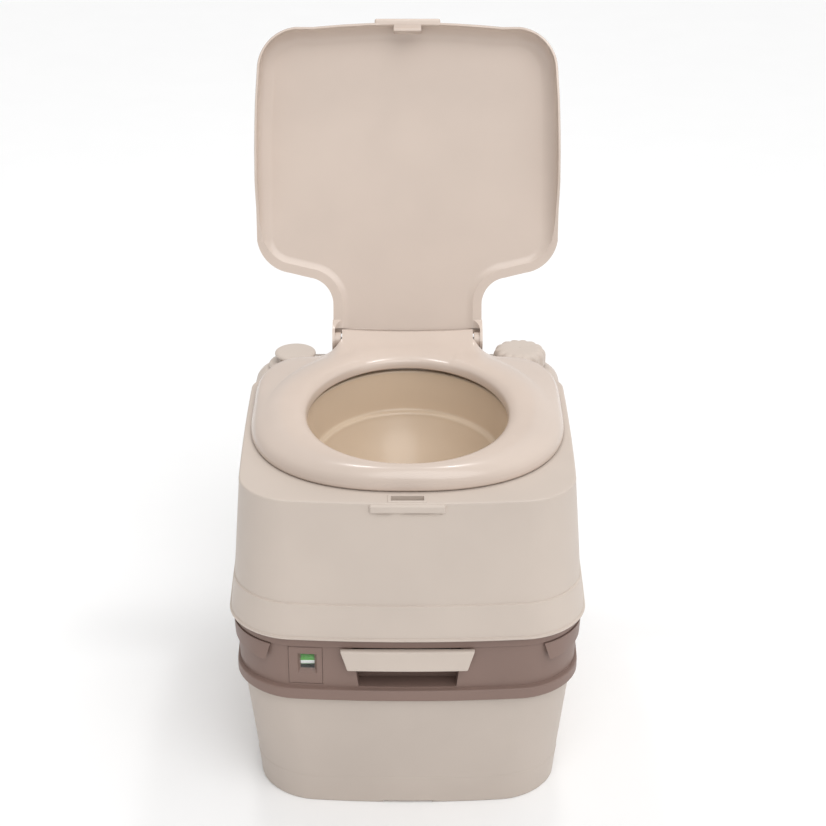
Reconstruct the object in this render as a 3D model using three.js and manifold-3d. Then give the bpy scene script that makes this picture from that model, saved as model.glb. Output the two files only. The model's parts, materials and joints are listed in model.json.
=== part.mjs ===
// Portable flush toilet: a flush tank with bowl, seat and lid, standing on a removable waste tank.
// Millimetres, +Z up, X to the right, the front towards -Y. The origin is the middle of the waste
// tank's flat bottom. Each sub-part is one closed mesh with its own material.

import * as THREE from 'three';
import { mergeVertices } from 'three/addons/utils/BufferGeometryUtils.js';
import Module from 'manifold-3d';

const wasm = await Module();
wasm.setup();

// ---------------------------------------------------------------------------------------------
// Driving dimensions
// ---------------------------------------------------------------------------------------------

const gap = 0.3; // clearance between two pieces that touch
const wall = 3; // thickness of the moulded walls

// Heights of the stack, from the floor up.
const tankTop = 146;
const lipTop = 160;
const bandTop = 212;
const skirtBottom = 224;
const skirtStep = 265;
const deckTop = 384;

// Outlines seen from above, each a rounded rectangle with a bowed front.
const plans = {
  tankFoot: { halfWidth: 166, halfDepth: 190, corner: 60 },
  tankTop: { halfWidth: 181, halfDepth: 204, corner: 62 },
  lip: { halfWidth: 187, halfDepth: 209.5, corner: 64 },
  bandFoot: { halfWidth: 184, halfDepth: 204, corner: 62 },
  bandTop: { halfWidth: 187, halfDepth: 206, corner: 64 },
  trim: { halfWidth: 188, halfDepth: 208, corner: 64 },
  rim: { halfWidth: 191.5, halfDepth: 213, corner: 64 },
  skirtStep: { halfWidth: 186.5, halfDepth: 209.5, corner: 62 },
  deck: { halfWidth: 178, halfDepth: 205, corner: 52 },
};
const frontBow = 12; // how far the middle of the front stands ahead of its corners
const sideBow = 4; // how far the middle of a side stands out from its ends

// Seat and lid hinge, and how far the lid leans back when it stands open.
const hingeY = 163;
const hingeZ = 402;
const lidOpen = THREE.MathUtils.degToRad(112);
const pinRadius = 4;
const pinHole = pinRadius + gap;
const neckHalf = 76.5; // half the width of the seat's hinge neck

// Bowl, seen from above.
const bowlY = -25;
const outletRadius = 42;

// Raised deck seen from above: round rear corners, and a tail back to the hinge.
const deckRearY = 126;
const deckRearCorner = 70;
const deckTailHalf = 84;

// Lower shelves behind the deck: pump on the left, filler on the right.
const shelfTop = 370;
const shelfEdge = 14; // how far the shelf's rounded edge reaches in, and down
const fittingX = 132;
const fittingY = 160;

// Waste valve, under the tank's deck plate.
const plateBottom = 204;
const plateTop = 207;
const bladeBottom = 196;
const bladeTop = 199.5;

// Level gauge in the band's front, to the left of the handle.
const gaugeX = [-126, -90];
const gaugeZ = [164, 210];
const gaugeWindowX = [-116, -96];
const gaugeWindowZ = [177, 201.5];
const drumRadius = 10.5;
const drumY = -184;
const drumZ = 190;

// Emptying spout, in a recess at the back on the left.
const spoutX = -118;
const spoutY = 184;
const spoutZ = 189;
const spoutRadius = 17;
const spoutReach = 128;

// ---------------------------------------------------------------------------------------------
// Materials
// ---------------------------------------------------------------------------------------------

function plastic(color, roughness) {
  return new THREE.MeshStandardMaterial({ color, roughness, metalness: 0 });
}

const cream = plastic(0xdfd0c5, 0.45);
const creamGloss = plastic(0xe2d3c8, 0.25);
const bowlCream = plastic(0xcbb49a, 0.35);
const brown = plastic(0x96807a, 0.55);
const greyPlastic = plastic(0x8f8f8c, 0.5);
const rubber = plastic(0x2b2a29, 0.85);
const gaugeGreen = plastic(0x3c8a1e, 0.4);
const clearPlastic = new THREE.MeshStandardMaterial({
  color: 0xeef2ee,
  roughness: 0.08,
  metalness: 0,
  transparent: true,
  opacity: 0.35,
});
const steel = new THREE.MeshStandardMaterial({ color: 0xb9bcc0, roughness: 0.3, metalness: 1 });

// ---------------------------------------------------------------------------------------------
// Solids: three.js geometry in, manifold solids for cutting and joining, meshes out
// ---------------------------------------------------------------------------------------------

/** Signed volume of an indexed closed geometry; negative when its faces point inwards. */
function signedVolume(positions, index) {
  const a = new THREE.Vector3();
  const b = new THREE.Vector3();
  const c = new THREE.Vector3();
  let volume = 0;
  for (let i = 0; i < index.length; i += 3) {
    a.fromArray(positions, 3 * index[i]);
    b.fromArray(positions, 3 * index[i + 1]);
    c.fromArray(positions, 3 * index[i + 2]);
    volume += a.dot(b.cross(c)) / 6;
  }
  return volume;
}

/** A closed geometry as a solid with its faces pointing out. */
function solid(geometry) {
  const bare = geometry.clone();
  bare.deleteAttribute('normal');
  bare.deleteAttribute('uv');
  const merged = mergeVertices(bare, 1e-4);
  const vertProperties = new Float32Array(merged.attributes.position.array);
  const triVerts = new Uint32Array(merged.index.array);
  if (signedVolume(vertProperties, triVerts) < 0) {
    triVerts.reverse();
  }
  return new wasm.Manifold(new wasm.Mesh({ numProp: 3, vertProperties, triVerts }));
}

/** A named mesh made from a solid. */
function piece(name, shape, material) {
  const data = shape.getMesh();
  const geometry = new THREE.BufferGeometry();
  geometry.setAttribute('position', new THREE.BufferAttribute(data.vertProperties, 3));
  geometry.setIndex(new THREE.BufferAttribute(data.triVerts, 1));
  geometry.computeVertexNormals();
  const mesh = new THREE.Mesh(geometry, material.clone());
  mesh.name = name;
  return mesh;
}

/** All the solids of a list joined into one. */
function join(shapes) {
  return shapes.reduce((sum, shape) => sum.add(shape));
}

function box([x0, x1], [y0, y1], [z0, z1]) {
  const geometry = new THREE.BoxGeometry(x1 - x0, y1 - y0, z1 - z0);
  geometry.translate((x0 + x1) / 2, (y0 + y1) / 2, (z0 + z1) / 2);
  return solid(geometry);
}

/** A cylinder standing on Z, centred at x, y. */
function post(radius, [z0, z1], [x, y], segments = 24) {
  const geometry = new THREE.CylinderGeometry(radius, radius, z1 - z0, segments);
  geometry.rotateX(Math.PI / 2);
  geometry.translate(x, y, (z0 + z1) / 2);
  return solid(geometry);
}

/** A cylinder lying along X, centred at y, z. */
function rod(radius, [x0, x1], [y, z], segments = 16) {
  const geometry = new THREE.CylinderGeometry(radius, radius, x1 - x0, segments);
  geometry.rotateZ(Math.PI / 2);
  geometry.translate((x0 + x1) / 2, y, z);
  return solid(geometry);
}

/** A turned solid about the vertical line through x, y; the profile is a list of [radius, z]. */
function turned(profile, [x, y], segments = 24) {
  const points = profile.map(([r, z]) => new THREE.Vector2(r, z));
  const geometry = new THREE.LatheGeometry(points, segments);
  geometry.rotateX(Math.PI / 2);
  geometry.translate(x, y, 0);
  return solid(geometry);
}

/** A flat outline in Y and Z, carried along X. */
function sidePrism(points, [x0, x1]) {
  const shape = new THREE.Shape(points.map(([y, z]) => new THREE.Vector2(y, z)));
  const geometry = new THREE.ExtrudeGeometry(shape, { depth: x1 - x0, bevelEnabled: false });
  const turn = new THREE.Matrix4().makeBasis(
    new THREE.Vector3(0, 1, 0),
    new THREE.Vector3(0, 0, 1),
    new THREE.Vector3(1, 0, 0),
  );
  geometry.applyMatrix4(turn);
  geometry.translate(x0, 0, 0);
  return solid(geometry);
}

/** A flat outline in X and Z, carried along Y. */
function frontPrism(points, [y0, y1]) {
  const shape = new THREE.Shape(points.map(([x, z]) => new THREE.Vector2(x, z)));
  const geometry = new THREE.ExtrudeGeometry(shape, { depth: y1 - y0, bevelEnabled: false });
  geometry.rotateX(Math.PI / 2);
  geometry.translate(0, y1, 0);
  return solid(geometry);
}

/** Side faces between rings that have the same number of points, as triangle indices. */
function ringFaces(ringCount, size, closed) {
  const faces = [];
  const last = closed ? ringCount : ringCount - 1;
  for (let ring = 0; ring < last; ring += 1) {
    const above = (ring + 1) % ringCount;
    for (let i = 0; i < size; i += 1) {
      const next = (i + 1) % size;
      faces.push(ring * size + i, ring * size + next, above * size + next);
      faces.push(ring * size + i, above * size + next, above * size + i);
    }
  }
  return faces;
}

function indexedGeometry(rings, faces) {
  const points = rings.flat().flatMap((p) => [p.x, p.y, p.z]);
  const geometry = new THREE.BufferGeometry();
  geometry.setAttribute('position', new THREE.Float32BufferAttribute(points, 3));
  geometry.setIndex(faces);
  return geometry;
}

/** A solid through a stack of rings, with flat ends. */
function loft(rings) {
  const size = rings[0].length;
  const faces = ringFaces(rings.length, size, false);
  const top = (rings.length - 1) * size;
  const flat = (ring) => ring.map((p) => new THREE.Vector2(p.x, p.y));
  for (const [a, b, c] of THREE.ShapeUtils.triangulateShape(flat(rings[0]), [])) {
    faces.push(c, b, a);
  }
  for (const [a, b, c] of THREE.ShapeUtils.triangulateShape(flat(rings[rings.length - 1]), [])) {
    faces.push(top + a, top + b, top + c);
  }
  return solid(indexedGeometry(rings, faces));
}

/** A ring-shaped solid whose section closes on itself. */
function loftLoop(rings) {
  return solid(indexedGeometry(rings, ringFaces(rings.length, rings[0].length, true)));
}

// ---------------------------------------------------------------------------------------------
// Outlines of the body
// ---------------------------------------------------------------------------------------------

const cornerSteps = 5;

/** Evenly spaced values strictly between two ends. */
function between(from, to, count) {
  return Array.from({ length: count }, (_, i) => from + ((to - from) * (i + 1)) / (count + 1));
}

/** Points of an arc, both ends included. */
function arc([cx, cy], radius, from, to, steps) {
  return Array.from({ length: steps + 1 }, (_, i) => {
    const angle = from + ((to - from) * i) / steps;
    return new THREE.Vector2(cx + radius * Math.cos(angle), cy + radius * Math.sin(angle));
  });
}

/** The rounded rectangle of a plan, moved in by inset, with its front and sides bowed. */
function planOutline(plan, inset = 0) {
  const w = plan.halfWidth - inset;
  const d = plan.halfDepth - inset;
  const r = Math.max(plan.corner - inset, 6);
  const quarter = Math.PI / 2;
  const side = (x, from, to) => between(from, to, 1).map((y) => new THREE.Vector2(x, y));
  const edge = (y, from, to, count) => between(from, to, count).map((x) => new THREE.Vector2(x, y));
  const points = [
    ...arc([w - r, d - r], r, 0, quarter, cornerSteps),
    ...edge(d, w - r, r - w, 1),
    ...arc([r - w, d - r], r, quarter, 2 * quarter, cornerSteps),
    ...side(-w, d - r, r - d),
    ...arc([r - w, r - d], r, 2 * quarter, 3 * quarter, cornerSteps),
    ...edge(-d, r - w, w - r, 3),
    ...arc([w - r, r - d], r, 3 * quarter, 4 * quarter, cornerSteps),
    ...side(w, r - d, d - r),
  ];
  for (const p of points) {
    const frontShare = THREE.MathUtils.clamp(-p.y / d, 0, 1);
    p.y += frontBow * (p.x / plan.halfWidth) ** 2 * frontShare;
    p.x *= 1 - (sideBow / w) * (p.y / d) ** 2;
  }
  return points;
}

/** One ring of the body at a height. */
function layer(plan, z, inset = 0) {
  return planOutline(plan, inset).map((p) => new THREE.Vector3(p.x, p.y, z));
}

/** The plan part of the way between two plans. */
function blend(lower, upper, share) {
  const mix = (key) => THREE.MathUtils.lerp(lower[key], upper[key], share);
  return { halfWidth: mix('halfWidth'), halfDepth: mix('halfDepth'), corner: mix('corner') };
}

// ---------------------------------------------------------------------------------------------
// Waste tank
// ---------------------------------------------------------------------------------------------

function wasteTank() {
  const footRound = 6;
  const outside = loft([
    layer(plans.tankFoot, 0, footRound),
    layer(plans.tankFoot, 2, 2),
    layer(plans.tankFoot, footRound),
    layer(plans.tankTop, tankTop),
  ]);
  const inside = loft([
    layer(plans.tankFoot, wall, wall + footRound),
    layer(plans.tankFoot, 2 * wall + footRound, wall + 1),
    layer(plans.tankTop, tankTop + 1, wall),
  ]);
  const notch = box([-27, 27], [-200, -186], [-1, 3]);
  return piece('waste_tank', outside.subtract(inside).subtract(notch), cream);
}

/** The band's outer surface as a solid, moved in by inset. */
function bandBody(inset, [z0, z1]) {
  return loft([layer(plans.bandFoot, z0, inset), layer(plans.bandTop, z1, inset)]);
}

const handleTopHalf = 71;
const handleBottomHalf = 63.5;
const handleZ = [187, 211.5];
const recessTopHalf = 64;
const recessBottomHalf = 52;
const recessBack = -183;
const latchBack = 20;
const latchBottom = 192;

function tankBand() {
  const bottom = tankTop + gap;
  const lipRound = 3;
  const lip = loft([
    layer(plans.lip, bottom, lipRound),
    layer(plans.lip, bottom + lipRound),
    layer(plans.lip, lipTop - lipRound),
    layer(plans.lip, lipTop, lipRound + 1),
  ]);
  const outer = lip.add(bandBody(0, [bottom, bandTop]));
  const seatOnTank = loft([layer(plans.tankTop, tankTop, 9), layer(plans.tankTop, lipTop, 9)]);
  const hollow = bandBody(wall, [lipTop - 8, bandTop + 1]);
  let band = outer.subtract(hollow).subtract(seatOnTank);

  // Finger recess behind the valve handle, with a slot in its back for the valve blade.
  const pocketBlock = box([-74, 74], [-230, recessBack + wall], [bottom + 6, bandTop]);
  band = band.add(pocketBlock.intersect(outer));
  const pocket = frontPrism(
    [
      [-recessBottomHalf, lipTop + 2],
      [recessBottomHalf, lipTop + 2],
      [recessTopHalf, bandTop + 1],
      [-recessTopHalf, bandTop + 1],
    ],
    [-240, recessBack],
  );
  const bladeSlot = box([-57, 57], [-240, -170], [bladeBottom - 1, bladeTop + 1]);
  band = band.subtract(pocket).subtract(bladeSlot);

  // Tray at the back for the spout, open to the rear, with a hole for the swivel.
  const trayX = [-150, 72];
  const trayFront = 157;
  const trayFloor = lipTop;
  const trayBlock = box(trayX, [trayFront, 240], [trayFloor, bandTop]);
  const traySpace = box(
    [trayX[0] + wall, trayX[1] - wall],
    [trayFront + wall, 260],
    [trayFloor + wall, bandTop + 5],
  );
  band = band.add(trayBlock.intersect(outer)).subtract(traySpace);
  band = band.subtract(post(spoutRadius + 1.5, [100, bandTop], [spoutX, spoutY]));

  // Opening for the gauge panel, and grooves that the latch beads snap into.
  band = band.subtract(
    box([gaugeX[0] - gap, gaugeX[1] + gap], [-240, -150], [gaugeZ[0] - gap, gaugeZ[1] + gap]),
  );
  for (const side of [-1, 1]) {
    const groove = box([184, 200], [-52, -8], [latchBottom, latchBottom + 6.5]);
    band = band.subtract(side > 0 ? groove : groove.mirror([1, 0, 0]));
  }
  return piece('tank_band', band, brown);
}

const ventX = 85;
const ventY = 70;
const sealRadius = 48;

/** The brown plate that closes the tank inside the band. */
function tankDeck() {
  const inset = wall + gap;
  const outline = loft([
    layer(blend(plans.bandFoot, plans.bandTop, 0.8), plateBottom, inset),
    layer(blend(plans.bandFoot, plans.bandTop, 0.8), plateTop, inset),
  ]);
  const tray = box([-151, 73], [156, 260], [150, 260]);
  const pocket = box([-75, 75], [-260, recessBack + wall + gap], [150, 260]);
  const plate = outline
    .subtract(tray)
    .subtract(pocket)
    .subtract(post(sealRadius, [150, 260], [0, bowlY], 28))
    .subtract(post(7, [150, 260], [ventX, ventY]));
  return piece('tank_deck', plate, brown);
}

/** Rails and plate under the deck that carry the sliding blade. */
function valveGuide() {
  const front = recessBack + wall + gap;
  const body = box([-62, 62], [front, 45], [bladeBottom - gap - wall, plateBottom - gap]);
  const channel = box([-56, 56], [front - 1, 36], [bladeBottom - gap, plateBottom + 1]);
  const port = post(outletRadius + 2, [150, 260], [0, bowlY]);
  return piece('valve_guide', body.subtract(channel).subtract(port), greyPlastic);
}

function valveSeal() {
  const profile = [
    [outletRadius, bladeTop + gap],
    [sealRadius - gap, bladeTop + gap],
    [sealRadius - gap, plateTop + gap],
    [outletRadius + 14, plateTop + gap],
    [outletRadius + 14, bandTop - 1.5],
    [outletRadius, bandTop - gap],
    [outletRadius, bladeTop + gap],
  ];
  return piece('valve_lip_seal', turned(profile, [0, bowlY], 28), rubber);
}

function gaugePanel() {
  const wallStrip = bandBody(0, [lipTop, bandTop]).subtract(bandBody(wall, [lipTop - 1, bandTop + 1]));
  const frame = wallStrip.intersect(box(gaugeX, [-240, -150], gaugeZ));
  const window = box(gaugeWindowX, [-240, -150], gaugeWindowZ);
  return piece('gauge_panel', frame.subtract(window), brown);
}

function gaugeLens() {
  const front = wall + gap;
  const sheet = bandBody(front, [lipTop, bandTop]).subtract(
    bandBody(front + 1.5, [lipTop - 1, bandTop + 1]),
  );
  const pane = box(
    [gaugeWindowX[0] - 2, gaugeWindowX[1] + 2],
    [-240, -150],
    [gaugeWindowZ[0] - 2, gaugeWindowZ[1] + 2],
  );
  return piece('gauge_lens', sheet.intersect(pane), clearPlastic);
}

function ventSleeve() {
  const profile = [
    [5.6, plateTop + gap],
    [11, plateTop + gap],
    [9, bandTop],
    [5.6, bandTop],
    [5.6, plateTop + gap],
  ];
  return piece('vent_sleeve', turned(profile, [ventX, ventY], 24), greyPlastic);
}

// ---------------------------------------------------------------------------------------------
// Waste valve, level gauge, vent and spout: the moving pieces on the tank
// ---------------------------------------------------------------------------------------------

function valveBlade() {
  const back = 32;
  const tongue = box([-46, 46], [-206.5, -150], [bladeBottom, bladeTop]);
  const plate = box([-54, 54], [-151, back], [bladeBottom, bladeTop]);
  return piece('valve_blade', tongue.add(plate), greyPlastic);
}

/** Trapezoid pull whose front follows the bow of the tank. */
function valveHandle() {
  const outline = frontPrism(
    [
      [-handleBottomHalf, handleZ[0]],
      [handleBottomHalf, handleZ[0]],
      [handleTopHalf, handleZ[1]],
      [-handleTopHalf, handleZ[1]],
    ],
    [-230, -206.8],
  );
  const front = { halfWidth: 190, halfDepth: 214.5, corner: 64 };
  const face = loft([layer(front, 180), layer(front, 220)]);
  return piece('valve_handle', outline.intersect(face), cream);
}

function gaugeDrum() {
  const drum = rod(drumRadius, [-115, -97], [drumY, drumZ], 24);
  const bore = rod(2.4, [-120, -90], [drumY, drumZ]);
  return piece('gauge_drum', drum.subtract(bore), gaugeGreen);
}

const floatRadius = 16;
const floatCentre = [drumY + 42, drumZ - 98];

function floatArm() {
  const hub = rod(6, [-96.4, -91.5], [drumY, drumZ]);
  const bore = rod(2.4, [-99, -90], [drumY, drumZ]);
  const along = new THREE.Vector2(floatCentre[0] - drumY, floatCentre[1] - drumZ);
  const across = new THREE.Vector2(-along.y, along.x).normalize();
  const at = (share, side) => [
    drumY + along.x * share + across.x * 2.5 * side,
    drumZ + along.y * share + across.y * 2.5 * side,
  ];
  const bar = sidePrism([at(0.04, -1), at(1, -1), at(1, 1), at(0.04, 1)], [-96.4, -91.5]);
  const foot = rod(7, [-96.4, -91.5], floatCentre, 16);
  return piece('float_arm', hub.add(bar).add(foot).subtract(bore), greyPlastic);
}

function floatBall() {
  const ball = new THREE.SphereGeometry(floatRadius, 16, 10);
  ball.rotateX(Math.PI / 2);
  ball.translate(-106, ...floatCentre);
  const armSide = box([-96.4 - gap, -80], [-300, 300], [-100, 300]);
  return piece('float_ball', solid(ball).subtract(armSide), cream);
}

/** Steel pin through the drum, held by the two ears of the gauge's bracket. */
function gaugePin() {
  return piece('gauge_pin', rod(2.1, [-120, -88], [drumY, drumZ], 14), steel);
}

/** Two ears under the deck plate, joined by a bridge, that hold the gauge's pin. */
function gaugeBracket() {
  const ear = (x) => {
    const arm = box([x, x + 2], [drumY - 5, drumY + 5], [drumZ - 5, plateBottom - gap]);
    return arm.subtract(rod(2.4, [-130, -80], [drumY, drumZ], 14));
  };
  const bridge = box([-119.5, -87.5], [drumY - 5, drumY + 5], [plateBottom - gap - 1.6, plateBottom - gap]);
  return piece('gauge_bracket', join([ear(-119.5), ear(-89.5), bridge]).subtract(
    rod(drumRadius + 0.8, [-117, -91], [drumY, drumZ], 24),
  ), greyPlastic);
}

const ventTravel = 4;

function ventButton() {
  const cap = bandTop + ventTravel + 0.5;
  const profile = [
    [0, 198],
    [5, 198],
    [5, cap],
    [8, cap],
    [8, cap + 2],
    [6.5, cap + 3.2],
    [0, cap + 3.5],
  ];
  return piece('vent_button', turned(profile, [ventX, ventY], 24), brown);
}

function ventSeal() {
  const profile = [
    [5 + gap, 200],
    [10, 200],
    [10, plateBottom - gap],
    [5 + gap, plateBottom - gap],
    [5 + gap, 200],
  ];
  return piece('vent_seal', turned(profile, [ventX, ventY], 24), rubber);
}

/** Elbow that stands in the tank and turns outwards to pour. */
function spoutElbow() {
  const bore = spoutRadius - 2.5;
  const rise = post(spoutRadius, [148, spoutZ], [spoutX, spoutY]);
  const arm = rod(spoutRadius, [spoutX, spoutX + spoutReach], [spoutY, spoutZ], 20);
  const knee = new THREE.SphereGeometry(spoutRadius, 20, 10);
  knee.rotateX(Math.PI / 2);
  knee.translate(spoutX, spoutY, spoutZ);
  const riseBore = post(bore, [140, spoutZ], [spoutX, spoutY]);
  const armBore = rod(bore, [spoutX, spoutX + spoutReach + 1], [spoutY, spoutZ], 20);
  const collar = post(spoutRadius + 4, [lipTop + wall + gap, lipTop + wall + 2], [spoutX, spoutY]);
  const body = join([rise, arm, solid(knee), collar]);
  return piece('spout_elbow', body.subtract(riseBore).subtract(armBore), brown);
}

function spoutSeal() {
  const profile = [
    [spoutRadius + gap, 151],
    [spoutRadius + 1.2, 151],
    [spoutRadius + 1.2, 157],
    [spoutRadius + gap, 157],
    [spoutRadius + gap, 151],
  ];
  return piece('spout_seal', turned(profile, [spoutX, spoutY], 20), rubber);
}

/** Screw cap that doubles as a dosing cup, with a ribbed grip. */
function spoutCap() {
  const start = spoutX + spoutReach - 14;
  const end = spoutX + spoutReach + 14;
  const radius = 20.5;
  const cup = rod(radius, [start, end], [spoutY, spoutZ], 24);
  const inside = rod(spoutRadius + 1, [start - 1, end - 3], [spoutY, spoutZ], 24);
  let cap = cup.subtract(inside);
  const ribs = 12;
  for (let i = 0; i < ribs; i += 1) {
    const angle = (2 * Math.PI * i) / ribs;
    const centre = [spoutY + (radius + 0.6) * Math.cos(angle), spoutZ + (radius + 0.6) * Math.sin(angle)];
    cap = cap.subtract(rod(1.6, [start - 1, end + 1], centre, 8));
  }
  return piece('spout_cap', cap, brown);
}

function spoutCapSeal() {
  const start = spoutX + spoutReach + gap;
  const disc = rod(spoutRadius, [start + 1, start + 3.5], [spoutY, spoutZ], 20);
  return piece('spout_cap_seal', disc, rubber);
}

// ---------------------------------------------------------------------------------------------
// Flush tank: outer case, bowl, floor and trim
// ---------------------------------------------------------------------------------------------

/** The case from the rim to the deck, moved in by inset. */
function caseBody(inset, lowest, highest) {
  const skirtTop = blend(plans.skirtStep, plans.deck, 0.3);
  return loft([
    layer(plans.rim, lowest, inset + (inset > 0 ? 0 : 1.5)),
    layer(plans.rim, skirtBottom + 3, inset),
    layer(plans.skirtStep, skirtStep, inset - 0.8),
    layer(plans.skirtStep, skirtStep + 1, inset),
    layer(skirtTop, 300, inset),
    layer(plans.deck, highest - 6, inset),
    layer(plans.deck, highest - 2, inset + 2),
    layer(plans.deck, highest, inset + 6),
  ]);
}

/** Everything above the deck's own outline, moved in by inset. */
function deckColumn(inset) {
  const [low, high] = [330, 400];
  const corner = deckRearCorner - inset;
  const centreX = plans.deck.halfWidth + 2 - deckRearCorner;
  const centreY = deckRearY - deckRearCorner;
  const front = -260;
  const right = arc([centreX, centreY], corner, 0, Math.PI / 2, 7);
  const left = right.map((p) => new THREE.Vector2(-p.x, p.y)).reverse();
  const outline = [
    ...right,
    ...left,
    new THREE.Vector2(-centreX - corner, front),
    new THREE.Vector2(centreX + corner, front),
  ];
  const column = loft([low, high].map((z) => outline.map((p) => new THREE.Vector3(p.x, p.y, z))));
  const tailHalf = deckTailHalf - inset;
  return column.add(box([-tailHalf, tailHalf], [0, 260], [low, high]));
}

/** What is missing above the two shelves, beside the deck's tail. */
function aboveShelves(inset) {
  const top = shelfTop - inset;
  const shelf = loft([
    layer(plans.deck, top - shelfEdge - 10, inset - 6),
    layer(plans.deck, top - shelfEdge, inset - 2),
    layer(plans.deck, top - 6, inset + 2.5),
    layer(plans.deck, top - 1.5, inset + 8),
    layer(plans.deck, top, inset + shelfEdge),
  ]);
  const space = box([-210, 210], [40, 230], [top - shelfEdge - 5, deckTop + 5]);
  return space.subtract(shelf).subtract(deckColumn(inset));
}

/** An ellipse of the bowl, seen from above, at a height. */
function bowlRing(halfWidth, halfLength, z, centreY = bowlY) {
  const count = 30;
  return Array.from({ length: count }, (_, i) => {
    const angle = (2 * Math.PI * i) / count;
    return new THREE.Vector3(halfWidth * Math.cos(angle), centreY + halfLength * Math.sin(angle), z);
  });
}

const bowlTopHalf = 113;
const bowlTopLength = 135;

// The flush nozzle's place in the bowl's wall, on the left towards the front.
const nozzleAt = new THREE.Vector3(-91, -101, 369);
const nozzleTurn = 120; // degrees, from pointing backwards to pointing out of the wall

/** Moves a solid drawn at the origin, with +Y out of the bowl, to the nozzle's place. */
function atNozzle(shape) {
  return shape.rotate([0, 0, nozzleTurn]).translate(nozzleAt.toArray());
}
const hingePosts = [
  [-50, -30],
  [30, 50],
];

function flushTankCase() {
  const outside = caseBody(0, skirtBottom, deckTop).subtract(aboveShelves(0));
  const inside = caseBody(wall, skirtBottom - 1, deckTop - wall).subtract(aboveShelves(wall));
  const bowlHole = loft([
    bowlRing(bowlTopHalf + wall + 1, bowlTopLength + wall + 1, deckTop - 20),
    bowlRing(bowlTopHalf + wall + 1, bowlTopLength + wall + 1, deckTop + 20),
  ]);
  const catchSlot = box([-18, 18], [-200.5, -189.5], [deckTop - 10, deckTop + 5]);
  let body = outside
    .subtract(inside)
    .subtract(bowlHole)
    .subtract(catchSlot)
    .subtract(post(19, [shelfTop - 10, shelfTop + 5], [-fittingX, fittingY]))
    .subtract(post(25 + gap, [shelfTop - 10, shelfTop + 5], [fittingX, fittingY]));

  // Finger bar along the middle of the front edge, opposite the one on the lid.
  body = body.add(box([-39, 39], [-207.5, -200.5], [deckTop - 11, deckTop - 2]));

  // Two posts that carry the hinge pins.
  for (const span of hingePosts) {
    const foot = box(span, [hingeY - 5.5, hingeY + 5.5], [deckTop - 1, hingeZ]);
    const head = rod(8, span, [hingeY, hingeZ]);
    body = body.add(foot).add(head).subtract(rod(pinHole, [span[0] - 1, span[1] + 1], [hingeY, hingeZ]));
  }
  return piece('flush_tank_case', body, cream);
}

function bowl() {
  const outer = [
    bowlRing(outletRadius + wall, outletRadius + wall, bandTop + gap),
    bowlRing(outletRadius + wall, outletRadius + wall, 236),
    bowlRing(62, 70, 256),
    bowlRing(88, 103, 298),
    bowlRing(104, 124, 334),
    bowlRing(bowlTopHalf - 2, bowlTopLength - 4, 341),
    bowlRing(bowlTopHalf + wall, bowlTopLength + wall, deckTop + gap),
    bowlRing(bowlTopHalf + 9, bowlTopLength + 9, deckTop + gap),
    bowlRing(bowlTopHalf + 9, bowlTopLength + 9, deckTop + 2),
    bowlRing(bowlTopHalf + 6, bowlTopLength + 6, deckTop + 2.8),
  ];
  const inner = [
    bowlRing(outletRadius, outletRadius, bandTop - 1),
    bowlRing(outletRadius, outletRadius, 237),
    bowlRing(59, 67, 257.5),
    bowlRing(85, 100, 300),
    bowlRing(101, 121, 336),
    bowlRing(bowlTopHalf - 6, bowlTopLength - 8, 338),
    bowlRing(bowlTopHalf - 5, bowlTopLength - 7, 341),
    bowlRing(bowlTopHalf, bowlTopLength, deckTop + 5),
  ];
  const jetHole = atNozzle(box([-13, 13], [-17, 23], [-5, 5]));
  const shape = loft(outer).subtract(loft(inner)).subtract(jetHole);
  return piece('bowl', shape, bowlCream);
}

const floorZ = [228, 231.5];

function flushTankFloor() {
  const inset = wall + gap + 1;
  const outline = loft(floorZ.map((z) => layer(plans.skirtStep, z, inset)));
  const outlet = post(outletRadius + wall + gap, [200, 260], [0, bowlY], 28);
  return piece('flush_tank_floor', outline.subtract(outlet), cream);
}

const latchPinX = 189.3;
const latchPinZ = 209.4;
const latchPinY = [-63, 1];
const latchFrontX = 145;
const latchLugs = [
  [-62, -54],
  [-8, 0],
];

/** Brown strip under the skirt; it carries the latch lugs. */
function trimRing() {
  const top = skirtBottom - gap;
  const bottom = bandTop + gap;
  const strip = loft([layer(plans.trim, bottom), layer(plans.trim, top)]);
  const upstand = loft([
    layer(plans.skirtStep, top - 1, wall + gap + 1),
    layer(plans.skirtStep, floorZ[0] - gap, wall + gap + 1),
  ]);
  const hollow = loft([
    layer(plans.trim, bottom - 1, 10),
    layer(plans.trim, floorZ[0] + 1, 10),
  ]);
  let ring = strip.add(upstand).subtract(hollow);
  for (const side of [-1, 1]) {
    for (const span of latchLugs) {
      const lug = box([latchPinX - 1.6, latchPinX + 2], span, [latchPinZ - 2.5, bottom + 1]);
      const tie = box([latchPinX - 6, latchPinX + 2], span, [bottom + 0.5, bottom + 3]);
      const both = lug.add(tie).subtract(latchRod(latchBore, [-70, 10]));
      ring = ring.add(side > 0 ? both : both.mirror([1, 0, 0]));
    }
  }
  return piece('trim_ring', ring, brown);
}

const latchPinRadius = 1;
const latchBore = latchPinRadius + gap;

/** A cylinder along Y on the right-hand latch's hinge line. */
function latchRod(radius, [y0, y1]) {
  const geometry = new THREE.CylinderGeometry(radius, radius, y1 - y0, 14);
  geometry.translate(latchPinX, (y0 + y1) / 2, latchPinZ);
  return solid(geometry);
}

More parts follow.
